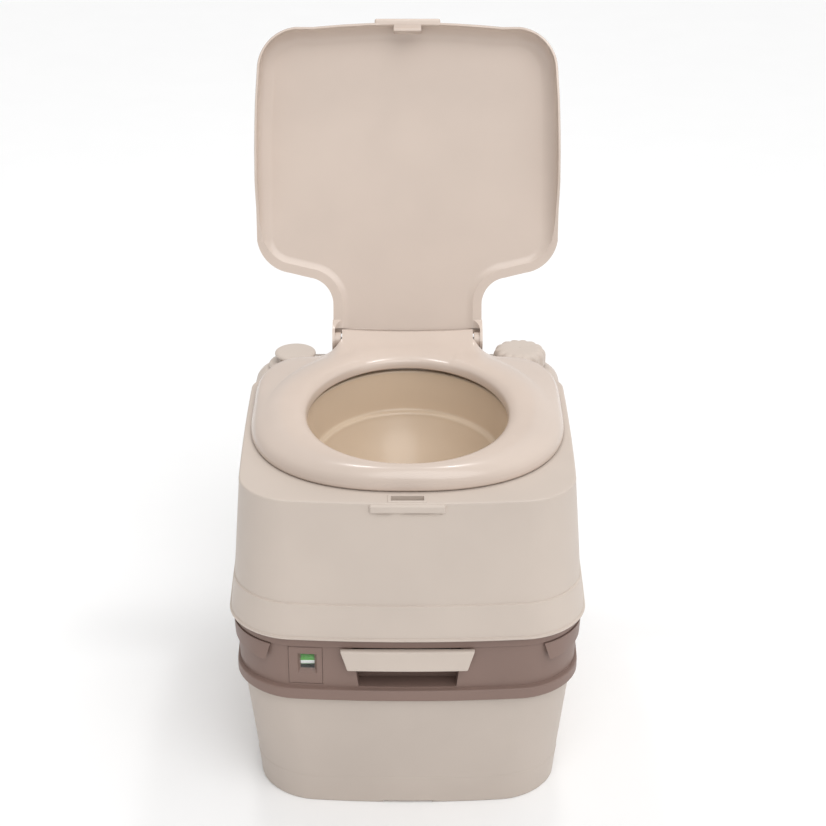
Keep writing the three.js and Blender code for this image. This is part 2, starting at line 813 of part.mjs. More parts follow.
/** The right-hand latch: a lever that wraps the front corner and snaps under the band's groove. */
function latchLever() {
  const outer = { halfWidth: 191, halfDepth: 210, corner: 66 };
  const inner = { halfWidth: 187.9, halfDepth: 206.9, corner: 64 };
  const top = bandTop - 0.4;
  const wrap = loft([layer(outer, latchBottom - 1), layer(outer, top + 1)]).subtract(
    loft([layer(inner, latchBottom - 2), layer(inner, top + 2)]),
  );
  const slant = 6;
  const window = frontPrism(
    [
      [latchFrontX + slant, latchBottom],
      [200, latchBottom],
      [200, top],
      [latchFrontX, top],
    ],
    [-230, latchBack],
  );
  const bead = frontPrism(
    [
      [188.4, latchBottom + 0.4],
      [188.4, latchBottom + 5],
      [185.9, latchBottom + 0.8],
      [185.9, latchBottom + 0.4],
    ],
    [-50, -10],
  );
  const aboveHinge = box([180, 200], [-130, latchBack + 1], [latchPinZ, bandTop + 3]);
  const barrel = latchRod(2.1, [latchLugs[0][0], latchLugs[1][1]]);
  let lever = wrap.intersect(window).subtract(aboveHinge).add(bead).add(barrel);
  for (const span of latchLugs) {
    const slot = box([180, 200], [span[0] - 0.6, span[1] + 0.6], [latchPinZ - 3.2, bandTop + 3]);
    lever = lever.subtract(slot);
  }
  return lever.subtract(latchRod(latchBore, [-70, 10]));
}

function latchPieces() {
  const mirror = (shape) => shape.mirror([1, 0, 0]);
  return [
    piece('latch_right', latchLever(), brown),
    piece('latch_left', mirror(latchLever()), brown),
    piece('latch_pin_right', latchRod(latchPinRadius, latchPinY), steel),
    piece('latch_pin_left', mirror(latchRod(latchPinRadius, latchPinY)), steel),
  ];
}

// ---------------------------------------------------------------------------------------------
// Flush pump, hose and nozzle; filler and its cap
// ---------------------------------------------------------------------------------------------

const pumpAt = [-fittingX, fittingY];
const barrelRadius = 18;
const barrelBottom = 262;
const outletZ = 272;

function pumpBarrel() {
  const profile = [
    [4, barrelBottom],
    [barrelRadius, barrelBottom],
    [barrelRadius, shelfTop + gap],
    [barrelRadius + 6, shelfTop + gap],
    [barrelRadius + 6, shelfTop + 2],
    [barrelRadius - 2, shelfTop + 2],
    [barrelRadius - 2, barrelBottom + 2.5],
    [4, barrelBottom + 2.5],
    [4, barrelBottom],
  ];
  const side = pumpAt[0] + barrelRadius;
  const outlet = rod(3.6, [side - 4, side + 4], [pumpAt[1], outletZ], 14);
  return piece('pump_barrel', turned(profile, pumpAt).subtract(outlet), greyPlastic);
}

const knobBottom = shelfTop + 14;

/** Cover of the barrel: a wide foot, and a boss that the knob rests on. */
function pumpCollar() {
  const profile = [
    [5.6, shelfTop + 2 + gap],
    [barrelRadius + 6 + gap, shelfTop + 2 + gap],
    [barrelRadius + 6 + gap, shelfTop + gap],
    [30.5, shelfTop + gap],
    [30.5, shelfTop + 4],
    [28.5, shelfTop + 6],
    [barrelRadius + 2, shelfTop + 8],
    [barrelRadius, knobBottom - gap],
    [5.6, knobBottom - gap],
    [5.6, shelfTop + 2 + gap],
  ];
  return piece('pump_collar', turned(profile, pumpAt), cream);
}

/** One-way valve that lets water into the pump from the bottom of the tank. */
function pumpFootValve() {
  const profile = [
    [4.5, 236],
    [11, 236],
    [13, 240],
    [13, barrelBottom - gap],
    [4.5, barrelBottom - gap],
    [4.5, 236],
  ];
  return piece('pump_foot_valve', turned(profile, pumpAt, 24), greyPlastic);
}


function pumpKnob() {
  const profile = [
    [0, knobBottom],
    [20, knobBottom],
    [23.3, knobBottom + 1.2],
    [24, knobBottom + 3],
    [23, knobBottom + 4.8],
    [18, knobBottom + 5.8],
    [0, knobBottom + 6.4],
  ];
  return piece('pump_knob', turned(profile, pumpAt, 24), cream);
}

const pistonZ = [290, 300];

function pumpRod() {
  return piece('pump_rod', post(5, [pistonZ[1] + gap, knobBottom - gap], pumpAt, 20), greyPlastic);
}

function pumpPiston() {
  const outer = barrelRadius - 2.6;
  const profile = [
    [0, pistonZ[0]],
    [outer, pistonZ[0]],
    [outer, pistonZ[0] + 3],
    [outer - 3, pistonZ[0] + 3],
    [outer - 3, pistonZ[0] + 7],
    [outer, pistonZ[0] + 7],
    [outer, pistonZ[1]],
    [0, pistonZ[1]],
  ];
  return piece('pump_piston', turned(profile, pumpAt, 20), greyPlastic);
}

function pumpPistonRing() {
  const outer = barrelRadius - 2.3;
  const inner = outer - 3;
  const bottom = pistonZ[0] + 3 + gap;
  const top = pistonZ[0] + 7 - gap;
  const profile = [[inner, bottom], [outer, bottom], [outer, top], [inner, top], [inner, bottom]];
  return piece('pump_piston_ring', turned(profile, pumpAt, 20), rubber);
}

/** Hose from the pump's outlet, round the left of the bowl, to the nozzle. */
function flushHose() {
  const start = pumpAt[0] + barrelRadius + gap;
  const outOfWall = new THREE.Vector3(0, 1, 0).applyAxisAngle(
    new THREE.Vector3(0, 0, 1),
    THREE.MathUtils.degToRad(nozzleTurn),
  );
  const beyondWall = (distance) => nozzleAt.clone().addScaledVector(outOfWall, distance);
  const path = new THREE.CatmullRomCurve3([
    new THREE.Vector3(start, pumpAt[1], outletZ),
    new THREE.Vector3(start + 10, pumpAt[1], outletZ),
    new THREE.Vector3(-93, 118, 296),
    new THREE.Vector3(-116, 78, 340),
    new THREE.Vector3(-138, 20, 357),
    new THREE.Vector3(-150, -50, 364),
    new THREE.Vector3(-152, -98, 368),
    new THREE.Vector3(-140, -123, nozzleAt.z),
    beyondWall(34),
    beyondWall(23.5),
  ]);
  const section = new THREE.Shape().absarc(0, 0, 4.5, 0, 2 * Math.PI, false);
  section.holes.push(new THREE.Path().absarc(0, 0, 3, 0, 2 * Math.PI, true));
  const geometry = new THREE.ExtrudeGeometry(section, {
    steps: 26,
    curveSegments: 4,
    bevelEnabled: false,
    extrudePath: path,
  });
  return piece('flush_hose', solid(geometry), clearPlastic);
}

/** Fan nozzle that spreads the flush under the rim of the bowl. */
function flushNozzle() {
  const head = box([-12.7, 12.7], [-4.5, 16.5], [-4.7, 4.7]);
  const jet = box([-10, 10], [-7, 4.5], [-3, 1]);
  const feed = new THREE.CylinderGeometry(3, 3, 30, 14);
  feed.translate(0, 17.5, 0);
  const stub = new THREE.CylinderGeometry(4.5, 4.5, 8, 16);
  stub.translate(0, 19.1, 0);
  const nozzle = head.add(solid(stub)).subtract(jet).subtract(solid(feed));
  return piece('flush_nozzle', atNozzle(nozzle), greyPlastic);
}

const fillAt = [fittingX, fittingY];
const neckTop = shelfTop + 16;
const neckRadius = 25;

function fillNeck() {
  const profile = [
    [neckRadius - 2.5, shelfTop - 38],
    [neckRadius, shelfTop - 38],
    [neckRadius, shelfTop + gap],
    [neckRadius + 3.5, shelfTop + gap],
    [neckRadius + 3.5, shelfTop + 2],
    [neckRadius, shelfTop + 2],
    [neckRadius, neckTop],
    [neckRadius - 2.5, neckTop],
    [neckRadius - 2.5, shelfTop - 38],
  ];
  return piece('fill_neck', turned(profile, fillAt, 24), cream);
}

/** Fluted outline of the cap at a height. */
function flutedRing(radius, flute, z) {
  const flutes = 14;
  const count = 4 * flutes;
  return Array.from({ length: count }, (_, i) => {
    const angle = (2 * Math.PI * i) / count;
    const r = radius + flute * Math.cos(flutes * angle);
    return new THREE.Vector3(fillAt[0] + r * Math.cos(angle), fillAt[1] + r * Math.sin(angle), z);
  });
}

const capBottom = shelfTop + 2 + 2 * gap;
const sealTop = neckTop + 2.6;

function fillCap() {
  const outside = loft([
    flutedRing(29.6, 0.7, capBottom),
    flutedRing(29.4, 0.9, neckTop - 1),
    flutedRing(27.4, 1.1, neckTop + 4.5),
    flutedRing(22.5, 0.8, neckTop + 7.5),
  ]);
  const inside = post(neckRadius + 1, [capBottom - 1, sealTop], fillAt, 24);
  return piece('fill_cap', outside.subtract(inside), cream);
}

function fillCapSeal() {
  return piece(
    'fill_cap_seal',
    post(neckRadius, [neckTop + gap, sealTop - gap], fillAt, 24),
    rubber,
  );
}

// ---------------------------------------------------------------------------------------------
// Seat and lid. Both are drawn closed, with s the distance ahead of the hinge axis.
// ---------------------------------------------------------------------------------------------

/** The full outline, counter-clockwise from above, from its right half, drawn back to front. */
function mirrored(half) {
  const left = half.map((p) => new THREE.Vector2(-p.x, p.y));
  return [...left, ...half.toReversed()];
}

const seatHalfWidth = 171;
const seatWidestS = 176;
const seatFrontS = 344;
const seatShoulderS = 33.5;
const seatBackS = 18;

/** Quarter of a superellipse, squarer than an ellipse, from its side to its end. */
function softQuarter(centre, halfX, halfS, towards, steps, squareness = 2.4) {
  const power = 2 / squareness;
  return Array.from({ length: steps + 1 }, (_, i) => {
    const angle = (Math.PI / 2) * (i / steps);
    const x = centre.x + halfX * Math.cos(angle) ** power;
    const s = centre.y + towards * halfS * Math.sin(angle) ** power;
    return new THREE.Vector2(x, s);
  });
}

/** Right half of the seat's outline, in x and s, from the neck's back to the front. */
function seatHalfOutline() {
  const shoulder = new THREE.Vector2(112, 125);
  const flare = new THREE.QuadraticBezierCurve(
    new THREE.Vector2(neckHalf, seatBackS),
    new THREE.Vector2(neckHalf + 9, seatShoulderS),
    new THREE.Vector2(shoulder.x, seatShoulderS),
  ).getPoints(4);
  const rear = softQuarter(
    shoulder,
    seatHalfWidth - shoulder.x,
    shoulder.y - seatShoulderS,
    -1,
    6,
    2.8,
  ).reverse();
  const front = softQuarter(
    new THREE.Vector2(0, seatWidestS),
    seatHalfWidth,
    seatFrontS - seatWidestS,
    1,
    9,
  );
  return [
    new THREE.Vector2(26, seatBackS),
    new THREE.Vector2(52, seatBackS),
    ...flare,
    ...rear.slice(1),
    ...front.slice(0, -1),
    new THREE.Vector2(14, seatFrontS - 0.3),
  ];
}

const openingHalfWidth = 109.5;
const openingHalfLength = 130.5;

/** Places a ring of the seat part of the way from the opening (0) to the outline (1). */
function seatRing(share, z) {
  const outline = mirrored(seatHalfOutline());
  return outline.map((p) => {
    const out = new THREE.Vector2(p.x, hingeY - p.y);
    const angle = Math.atan2(
      (out.y - bowlY) / openingHalfLength,
      out.x / openingHalfWidth,
    );
    const inner = new THREE.Vector2(
      openingHalfWidth * Math.cos(angle),
      bowlY + openingHalfLength * Math.sin(angle),
    );
    const at = inner.lerp(out, share);
    return new THREE.Vector3(at.x, at.y, z);
  });
}

const seatBottom = deckTop + 3.3;

/** Strip that covers the hinge between the seat's ring and its barrels. */
function seatNeckCover() {
  const outer = 13;
  const inner = outer - wall;
  const point = (radius, degrees) => {
    const angle = THREE.MathUtils.degToRad(degrees);
    return [hingeY - radius * Math.cos(angle), hingeZ + radius * Math.sin(angle)];
  };
  const degrees = [134, 116, 98, 80, 62];
  const profile = [
    ...degrees.map((d) => point(outer, d)),
    [hingeY - 18, hingeZ + 7.6],
    [hingeY - 52, hingeZ + 4],
    [hingeY - 52, hingeZ + 1],
    [hingeY - 18, hingeZ + 7.6 - wall],
    ...degrees.map((d) => point(inner, d)).reverse(),
  ];
  return sidePrism(profile, [-neckHalf, neckHalf]);
}

function seat() {
  const ring = loftLoop([
    seatRing(1, seatBottom),
    seatRing(1, 391),
    seatRing(0.94, 397),
    seatRing(0.7, 404.6),
    seatRing(0.42, 407.4),
    seatRing(0.15, 405.6),
    seatRing(0.02, 400.5),
    seatRing(0, 391),
    seatRing(0.055, 391),
    seatRing(0.08, 400),
    seatRing(0.42, 404),
    seatRing(0.7, 401),
    seatRing(0.92, 393),
    seatRing(0.945, seatBottom),
  ]);
  let shape = ring.add(seatNeckCover());
  for (const side of [-1, 1]) {
    const span = side > 0 ? [54, neckHalf] : [-neckHalf, -54];
    const barrel = rod(9, span, [hingeY, hingeZ]);
    const cheekSpan = side > 0 ? [neckHalf - wall, neckHalf] : [-neckHalf, wall - neckHalf];
    const cheek = sidePrism(
      [
        [hingeY + 6, hingeZ - 6],
        [hingeY + 8, hingeZ + 9.5],
        [hingeY, hingeZ + 12],
        [hingeY - 18, hingeZ + 7],
        [hingeY - 50, hingeZ + 3.5],
        [hingeY - 50, hingeZ - 8],
        [hingeY - 18, seatBottom],
      ],
      cheekSpan,
    );
    const web = sidePrism(
      [
        [hingeY - 2, hingeZ],
        [hingeY - 2, hingeZ + 11.5],
        [hingeY - 30, hingeZ + 5],
        [hingeY - 8, hingeZ],
      ],
      side > 0 ? [60, 63] : [-63, -60],
    );
    shape = shape.add(barrel).add(cheek).add(web);
  }
  for (const at of seatBumperPlaces) {
    shape = shape.add(post(8, [seatBottom, 405], at, 16));
  }
  shape = shape.subtract(rod(pinHole, [-90, 90], [hingeY, hingeZ]));
  return piece('seat', shape, creamGloss);
}

const seatBumperPlaces = [
  [-136, -70],
  [136, -70],
  [-128, 40],
  [128, 40],
];

function seatBumpers() {
  return seatBumperPlaces.map((at, i) =>
    piece(`seat_bumper_${i + 1}`, post(6, [deckTop + gap, seatBottom - gap], at, 16), rubber),
  );
}

/** Right half of the lid's outline, moved in by inset, from the neck's back to the front. */
function lidHalfOutline(inset, backS) {
  const neck = 88 - inset;
  const waist = 31 + inset;
  const waistCentre = [119, 42];
  const shoulder = 45 - inset;
  const shoulderCentre = [132.5, 123];
  const front = 50 - inset;
  const frontCentre = [124.5, 313];
  const deg = THREE.MathUtils.degToRad;
  const sideX = (s) => 178 - inset - 3.2 * ((s - 215) / 100) ** 2;
  const frontS = (x) => 368 - inset - 5.5 * (x / 110) ** 2;
  return [
    new THREE.Vector2(neck * 0.4, backS),
    new THREE.Vector2(neck, backS),
    ...arc(waistCentre, waist, deg(180), deg(98), 4),
    ...arc(shoulderCentre, shoulder, deg(-82), deg(-8), 5),
    ...[180, 250].map((s) => new THREE.Vector2(sideX(s), s)),
    ...arc(frontCentre, front, deg(4), deg(84), 5),
    ...[75, 20].map((x) => new THREE.Vector2(x, frontS(x))),
  ];
}

/** One ring of the closed lid, at a height n above the hinge axis, in hinge coordinates. */
function lidRing(inset, n, backS = 14) {
  return mirrored(lidHalfOutline(inset, backS)).map((p) => new THREE.Vector3(p.x, -p.y, n));
}

function lid() {
  const edge = -17;
  const outside = loft([lidRing(0, edge), lidRing(1.2, 4), lidRing(3.5, 9.5), lidRing(9, 12)]);
  const openBack = 10;
  const inside = loft([
    lidRing(3, edge - 1, openBack),
    lidRing(4, 0, openBack),
    lidRing(7, 6, openBack),
    lidRing(14, 9, openBack),
  ]);
  let shape = outside.subtract(inside);

  // The rim is shallow at the rear, where it rests over the seat's shoulders.
  const rearRim = 6.5;
  const cheekRim = -9;
  const rimStep = sidePrism(
    [
      [-12.5, edge - 2],
      [-12.5, cheekRim],
      [-24, rearRim],
      [-104, rearRim],
      [-128, edge - 2],
    ],
    [-200, 200],
  );
  shape = shape.subtract(rimStep);

  // Run the panel back over the seat's hinge cover, and the cheeks down past the hinge.
  const panelBack = 12.5;
  shape = shape.subtract(box([-85, 85], [-20, -5], [-20, 10.2]));
  shape = shape.add(box([-86, 86], [-20, -panelBack], [10.2, 12]));
  shape = shape.subtract(box([-85, 85], [-panelBack, -5], [-20, 20]));
  const deg = THREE.MathUtils.degToRad;
  const cheekOutline = [
    [-12.5, cheekRim],
    [-24, rearRim],
    [-24, 10],
    ...arc([0, 0], 12, deg(100), deg(-90), 10).map((p) => [p.x, p.y]),
  ];
  for (const side of [-1, 1]) {
    const span = side > 0 ? [85, 88] : [-88, -85];
    const bossSpan = side > 0 ? [78, 86] : [-86, -78];
    const cheek = sidePrism(cheekOutline, span);
    const boss = rod(7, bossSpan, [0, 0]);
    shape = shape.add(cheek).add(boss);
  }
  shape = shape.subtract(rod(pinHole, [-95, 95], [0, 0]));

  // Finger bar outside the front edge, and the tab inside it that drops into the deck's slot.
  shape = shape.add(box([-38, 38], [-372, -364.5], [edge, edge + 8]));
  shape = shape.add(box([-16, 16], [-360, -357], [edge - 5, 10.5]));
  shape = shape.add(box([-16, 16], [-366, -357], [edge + 6, edge + 9]));
  return piece('lid', shape, creamGloss);
}

function hingePins() {
  return [
    piece('hinge_pin_left', rod(pinRadius, [-87.8, -26], [hingeY, hingeZ]), greyPlastic),
    piece('hinge_pin_right', rod(pinRadius, [26, 87.8], [hingeY, hingeZ]), greyPlastic),
  ];
}

// ---------------------------------------------------------------------------------------------
// Assembly: waste tank below, flush tank above, the lid standing open on its hinge
// ---------------------------------------------------------------------------------------------

const toilet = new THREE.Group();

const lowerUnit = new THREE.Group();
lowerUnit.add(
  wasteTank(),
  tankBand(),
  tankDeck(),
  valveGuide(),
  valveSeal(),
  gaugePanel(),
  gaugeLens(),
  gaugePin(),
  gaugeBracket(),
  ventSleeve(),
  valveBlade(),
  valveHandle(),
  gaugeDrum(),
  floatArm(),
  floatBall(),
  ventButton(),
  ventSeal(),
  spoutElbow(),
  spoutSeal(),
  spoutCap(),
  spoutCapSeal(),
);

const upperUnit = new THREE.Group();
upperUnit.add(
  flushTankCase(),
  bowl(),
  flushTankFloor(),
  trimRing(),
  ...latchPieces(),
  pumpBarrel(),
  pumpCollar(),
  pumpFootValve(),
  pumpKnob(),
  pumpRod(),
  pumpPiston(),
  pumpPistonRing(),
  flushHose(),
  flushNozzle(),
  fillNeck(),
  fillCap(),
  fillCapSeal(),
  ...hingePins(),
  seat(),
  ...seatBumpers(),
);

const openLid = new THREE.Group();
openLid.position.set(0, hingeY, hingeZ);
openLid.rotation.x = -lidOpen;
openLid.add(lid());

toilet.add(lowerUnit, upperUnit, openLid);

export default toilet;
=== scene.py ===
"""Looks of a portable flush toilet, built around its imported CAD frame.

Shapes are drawn in the frame's axes: X right, Y back, Z up, with the origin under the middle of
the waste tank. Numbers for shapes are millimetres, and build() turns them into metres.
"""

import json
import math

import bmesh
import bpy
from mathutils import Matrix, Vector


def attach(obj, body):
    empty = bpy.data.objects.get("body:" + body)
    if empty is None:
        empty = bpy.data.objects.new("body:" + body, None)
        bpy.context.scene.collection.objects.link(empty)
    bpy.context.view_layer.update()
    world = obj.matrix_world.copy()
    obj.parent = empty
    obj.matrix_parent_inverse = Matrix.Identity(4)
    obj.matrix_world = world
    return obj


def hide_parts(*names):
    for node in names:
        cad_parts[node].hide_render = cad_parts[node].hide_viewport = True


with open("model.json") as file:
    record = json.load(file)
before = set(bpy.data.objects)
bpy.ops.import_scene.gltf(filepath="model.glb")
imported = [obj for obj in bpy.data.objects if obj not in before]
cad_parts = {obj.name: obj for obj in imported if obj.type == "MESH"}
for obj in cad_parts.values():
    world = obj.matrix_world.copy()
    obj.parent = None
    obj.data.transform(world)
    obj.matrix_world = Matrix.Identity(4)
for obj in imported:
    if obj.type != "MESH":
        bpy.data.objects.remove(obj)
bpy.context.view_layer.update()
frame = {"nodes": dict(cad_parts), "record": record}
MM = 0.001

# ---- Dimensions shared by the pieces, in millimetres ----

TANK_TOP = 146
LIP_TOP = 160
BAND_TOP = 212
RIM_BOTTOM = 224
STEP_Z = 265
DECK_TOP = 384
GAP = 0.3
WALL = 3

# Outlines seen from above: half width, half depth, corner radius.
PLAN = {
    "foot": (166, 190, 60),
    "tank": (181, 204, 62),
    "lip": (187, 209.5, 64),
    "band_low": (184, 204, 62),
    "band_high": (187, 206, 64),
    "trim": (188, 208, 64),
    "rim": (191.5, 213, 64),
    "step": (186.5, 209.5, 62),
    "deck": (178, 205, 52),
    "handle": (190, 214.5, 64),
    "latch_out": (189.8, 208.8, 65),
    "latch_in": (187.9, 206.9, 64),
}
FRONT_BOW = 12
SIDE_BOW = 4

HINGE = Vector((0, 163, 402))
LID_OPEN = math.radians(112)
NECK_HALF = 76.5
BOWL_Y = -25
BOWL_TOP = (113, 135)
OUTLET_RADIUS = 42
SHELF_TOP = 370
SHELF_EDGE = 14
REAR_Y = 126
REAR_CORNER = 70
TAIL_HALF = 84
PUMP_AT = (-132, 160)
FILL_AT = (132, 160)
NOZZLE_AT = Vector((-91, -101, 369))
SPOUT_AT = (-118, 184)
SPOUT_Z = 189
SPOUT_RADIUS = 17
SPOUT_REACH = 128


# ---- Mesh tools ----


def build(name, points, faces):
    """A smooth-shaded mesh object from points in millimetres."""
    mesh = bpy.data.meshes.new(name)
    mesh.from_pydata([Vector(p) * MM for p in points], [], faces)
    piece = bpy.data.objects.new(name, mesh)
    bpy.context.scene.collection.objects.link(piece)
    work = bmesh.new()
    work.from_mesh(mesh)
    bmesh.ops.remove_doubles(work, verts=work.verts, dist=1e-6)
    bmesh.ops.recalc_face_normals(work, faces=work.faces)
    for face in work.faces:
        face.smooth = True
    work.to_mesh(mesh)
    work.free()
    return piece


def strip_faces(rings, loop):
    """Quads between neighbouring rings of equal length; loop also joins the last to the first."""
    count = len(rings[0])
    last = len(rings) if loop else len(rings) - 1
    faces = []
    for ring in range(last):
        above = (ring + 1) % len(rings)
        for i in range(count):
            j = (i + 1) % count
            faces.append((ring * count + i, ring * count + j, above * count + j, above * count + i))
    return faces


def loft(name, rings, loop=False):
    """A closed solid through rings, with flat ends, or a ring-shaped one when loop is true."""
    count = len(rings[0])
    faces = strip_faces(rings, loop)
    if not loop:
        top = (len(rings) - 1) * count
        faces.append(tuple(reversed(range(count))))
        faces.append(tuple(range(top, top + count)))
    return build(name, [p for ring in rings for p in ring], faces)


def circle(radius, z, at=(0, 0), count=72):
    """Points of a level circle."""
    turn = 2 * math.pi / count
    return [
        (at[0] + radius * math.cos(i * turn), at[1] + radius * math.sin(i * turn), z)
        for i in range(count)
    ]


def turned(name, profile, at, count=72):
    """A solid of revolution on a vertical axis, from a closed profile of (radius, height)."""
    closed = profile[0] == profile[-1]
    rows = profile[:-1] if closed else profile
    rings = [circle(max(radius, 0.05), z, at, count) for radius, z in rows]
    return loft(name, rings, loop=closed)


def lie_along_x(piece, y, z, x):
    """Turns a solid made on the Z axis so that it lies along X, starting at x."""
    place = Matrix.Translation(Vector((x, y, z)) * MM) @ Matrix.Rotation(math.pi / 2, 4, "Y")
    piece.data.transform(place)
    return piece


def box(name, span_x, span_y, span_z):
    """A rectangular solid, used as a cutter or as a block to round off."""
    ring = [(0, 0), (1, 0), (1, 1), (0, 1)]
    rings = [[(span_x[i], span_y[j], z) for i, j in ring] for z in span_z]
    return loft(name, rings)


def rounded(points, radii, steps=5):
    """A polyline whose inner corners are rounded, each with its own radius."""
    result = [Vector(points[0])]
    for before, corner, after, radius in zip(points, points[1:], points[2:], radii):
        corner = Vector(corner)
        a = Vector(before) - corner
        b = Vector(after) - corner
        if radius == 0:
            result.append(corner)
            continue
        angle = a.angle(b)
        reach = min(radius / math.tan(angle / 2), a.length * 0.49, b.length * 0.49)
        start = corner + a.normalized() * reach
        end = corner + b.normalized() * reach
        for k in range(steps + 1):
            t = k / steps
            result.append(start * (1 - t) ** 2 + corner * 2 * t * (1 - t) + end * t**2)
    result.append(Vector(points[-1]))
    return result


def smooth_curve(points, steps):
    """A Catmull-Rom curve through points, with steps intervals for each span."""
    padded = [points[0] * 2 - points[1], *points, points[-1] * 2 - points[-2]]
    result = []
    for a, b, c, d in zip(padded, padded[1:], padded[2:], padded[3:]):
        for k in range(steps):
            t = k / steps
            result.append(
                0.5 * (2 * b + (c - a) * t + (2 * a - 5 * b + 4 * c - d) * t**2
                       + (3 * b - a - 3 * c + d) * t**3)
            )
    result.append(points[-1])
    return result


def lerp(a, b, t):
    """The value at share t of the way from a to b."""
    return a + (b - a) * t


def smoothstep(low, high, value):
    """A soft step from 0 at low to 1 at high."""
    t = min(max((value - low) / (high - low), 0), 1)
    return t * t * (3 - 2 * t)


def finished_mesh(piece):
    """Replaces a piece's mesh by the result of its modifiers."""
    graph = bpy.context.evaluated_depsgraph_get()
    mesh = bpy.data.meshes.new_from_object(piece.evaluated_get(graph))
    piece.modifiers.clear()
    piece.data = mesh
    return piece


def combine(piece, tool, operation):
    """Cuts, joins or intersects piece with tool, and removes tool."""
    step = piece.modifiers.new("combine", "BOOLEAN")
    step.operation = operation
    step.solver = "EXACT"
    step.object = tool
    bpy.context.view_layer.update()
    finished_mesh(piece)
    bpy.data.objects.remove(tool)
    return piece


def cut(piece, *tools):
    """Cuts each tool out of a piece."""
    for tool in tools:
        combine(piece, tool, "DIFFERENCE")
    return piece


def add(piece, *others):
    """Joins other solids to a piece."""
    for other in others:
        combine(piece, other, "UNION")
    return piece


def soften(piece, width, segments=2, angle=35):
    """Rounds the sharp edges of a piece and evens out its shading."""
    bevel = piece.modifiers.new("edges", "BEVEL")
    bevel.width = width * MM
    bevel.segments = segments
    bevel.limit_method = "ANGLE"
    bevel.angle_limit = math.radians(angle)
    bevel.use_clamp_overlap = True
    even_shading(piece)
    return piece


def even_shading(piece):
    """Smooth shading that follows the large faces."""
    for polygon in piece.data.polygons:
        polygon.use_smooth = True
    shading = piece.modifiers.new("shading", "WEIGHTED_NORMAL")
    shading.keep_sharp = False
    shading.weight = 100
    return piece


# ---- Outlines of the body ----

CORNER_STEPS = 14


def between(start, end, count):
    """Evenly spaced values between two ends, without the ends."""
    return [lerp(start, end, (i + 1) / (count + 1)) for i in range(count)]


def arc(centre, radius, start, end, steps):
    """Points of an arc from one angle to another, in degrees."""
    turns = [math.radians(lerp(start, end, i / steps)) for i in range(steps + 1)]
    return [(centre[0] + radius * math.cos(a), centre[1] + radius * math.sin(a)) for a in turns]


def plan_outline(plan, inset=0.0):
    """The rounded rectangle of a plan, moved in by inset, with its front and sides bowed."""
    half_width, half_depth, corner = plan
    w = half_width - inset
    d = half_depth - inset
    r = max(corner - inset, 6)
    points = [
        *arc((w - r, d - r), r, 0, 90, CORNER_STEPS),
        *[(x, d) for x in between(w - r, r - w, 13)],
        *arc((r - w, d - r), r, 90, 180, CORNER_STEPS),
        *[(-w, y) for y in between(d - r, r - d, 13)],
        *arc((r - w, r - d), r, 180, 270, CORNER_STEPS),
        *[(x, -d) for x in between(r - w, w - r, 23)],
        *arc((w - r, r - d), r, 270, 360, CORNER_STEPS),
        *[(w, y) for y in between(r - d, d - r, 13)],
    ]
    bowed = []
    for x, y in points:
        front_share = min(max(-y / d, 0), 1)
        y += FRONT_BOW * (x / half_width) ** 2 * front_share
        x *= 1 - (SIDE_BOW / w) * (y / d) ** 2
        bowed.append((x, y))
    return bowed


def layer(plan, z, inset=0.0):
    """A plan's outline at a height."""
    return [(x, y, z) for x, y in plan_outline(plan, inset)]


def blend_plan(low, high, share):
    return tuple(lerp(a, b, share) for a, b in zip(low, high))


def plan_at(stack, z):
    """The plan at a height, from a stack of (height, plan)."""
    if z <= stack[0][0]:
        return stack[0][1]
    for (z0, low), (z1, high) in zip(stack, stack[1:]):
        if z <= z1:
            return blend_plan(low, high, (z - z0) / (z1 - z0))
    return stack[-1][1]


def ellipse(half_width, half_length, z, count=96, centre_y=BOWL_Y):
    turn = 2 * math.pi / count
    return [
        (half_width * math.cos(i * turn), centre_y + half_length * math.sin(i * turn), z)
        for i in range(count)
    ]


# ---- Materials ----

GRAIN_SCALE = 1000.0 / 0.9


def colour(red, green, blue):
    """An sRGB colour, given as it looks on screen, as linear values for a shader."""

    def linear(value):
        value /= 255
        return value / 12.92 if value <= 0.04045 else ((value + 0.055) / 1.055) ** 2.4

    return (linear(red), linear(green), linear(blue), 1.0)


def link(tree, source, target):
    tree.links.new(source, target)


def noise(tree, coordinates, scale, detail=2.0):
    node = tree.nodes.new("ShaderNodeTexNoise")
    node.inputs["Scale"].default_value = scale
    node.inputs["Detail"].default_value = detail
    link(tree, coordinates, node.inputs["Vector"])
    return node.outputs["Fac"]


def ramp(tree, factor, stops):
    """A colour ramp from (position, colour) stops."""
    node = tree.nodes.new("ShaderNodeValToRGB")
    elements = node.color_ramp.elements
    while len(elements) < len(stops):
        elements.new(0.5)
    for element, (position, tone) in zip(elements, stops):
        element.position = position
        element.color = tone
    link(tree, factor, node.inputs["Fac"])
    return node.outputs["Color"]


def spread(tree, factor, low, high):
    """A factor mapped onto a range of numbers."""
    node = tree.nodes.new("ShaderNodeMapRange")
    node.inputs["To Min"].default_value = low
    node.inputs["To Max"].default_value = high
    link(tree, factor, node.inputs["Value"])
    return node.outputs["Result"]


def shade(tone, factor):
    return tuple(min(c * factor, 1.0) for c in tone[:3]) + (1.0,)


def new_material(name):
    """A material with its node tree, its shader and the object's coordinates."""
    material = bpy.data.materials.new(name)
    material.use_nodes = True
    tree = material.node_tree
    shader = tree.nodes["Principled BSDF"]
    position = tree.nodes.new("ShaderNodeTexCoord").outputs["Object"]
    return material, tree, shader, position


def mottle(tree, cloudy, dark, light, shader):
    """Colours a shader between a dark and a light tone by a noise."""
    link(tree, ramp(tree, cloudy, [(0.3, dark), (0.7, light)]), shader.inputs["Base Color"])


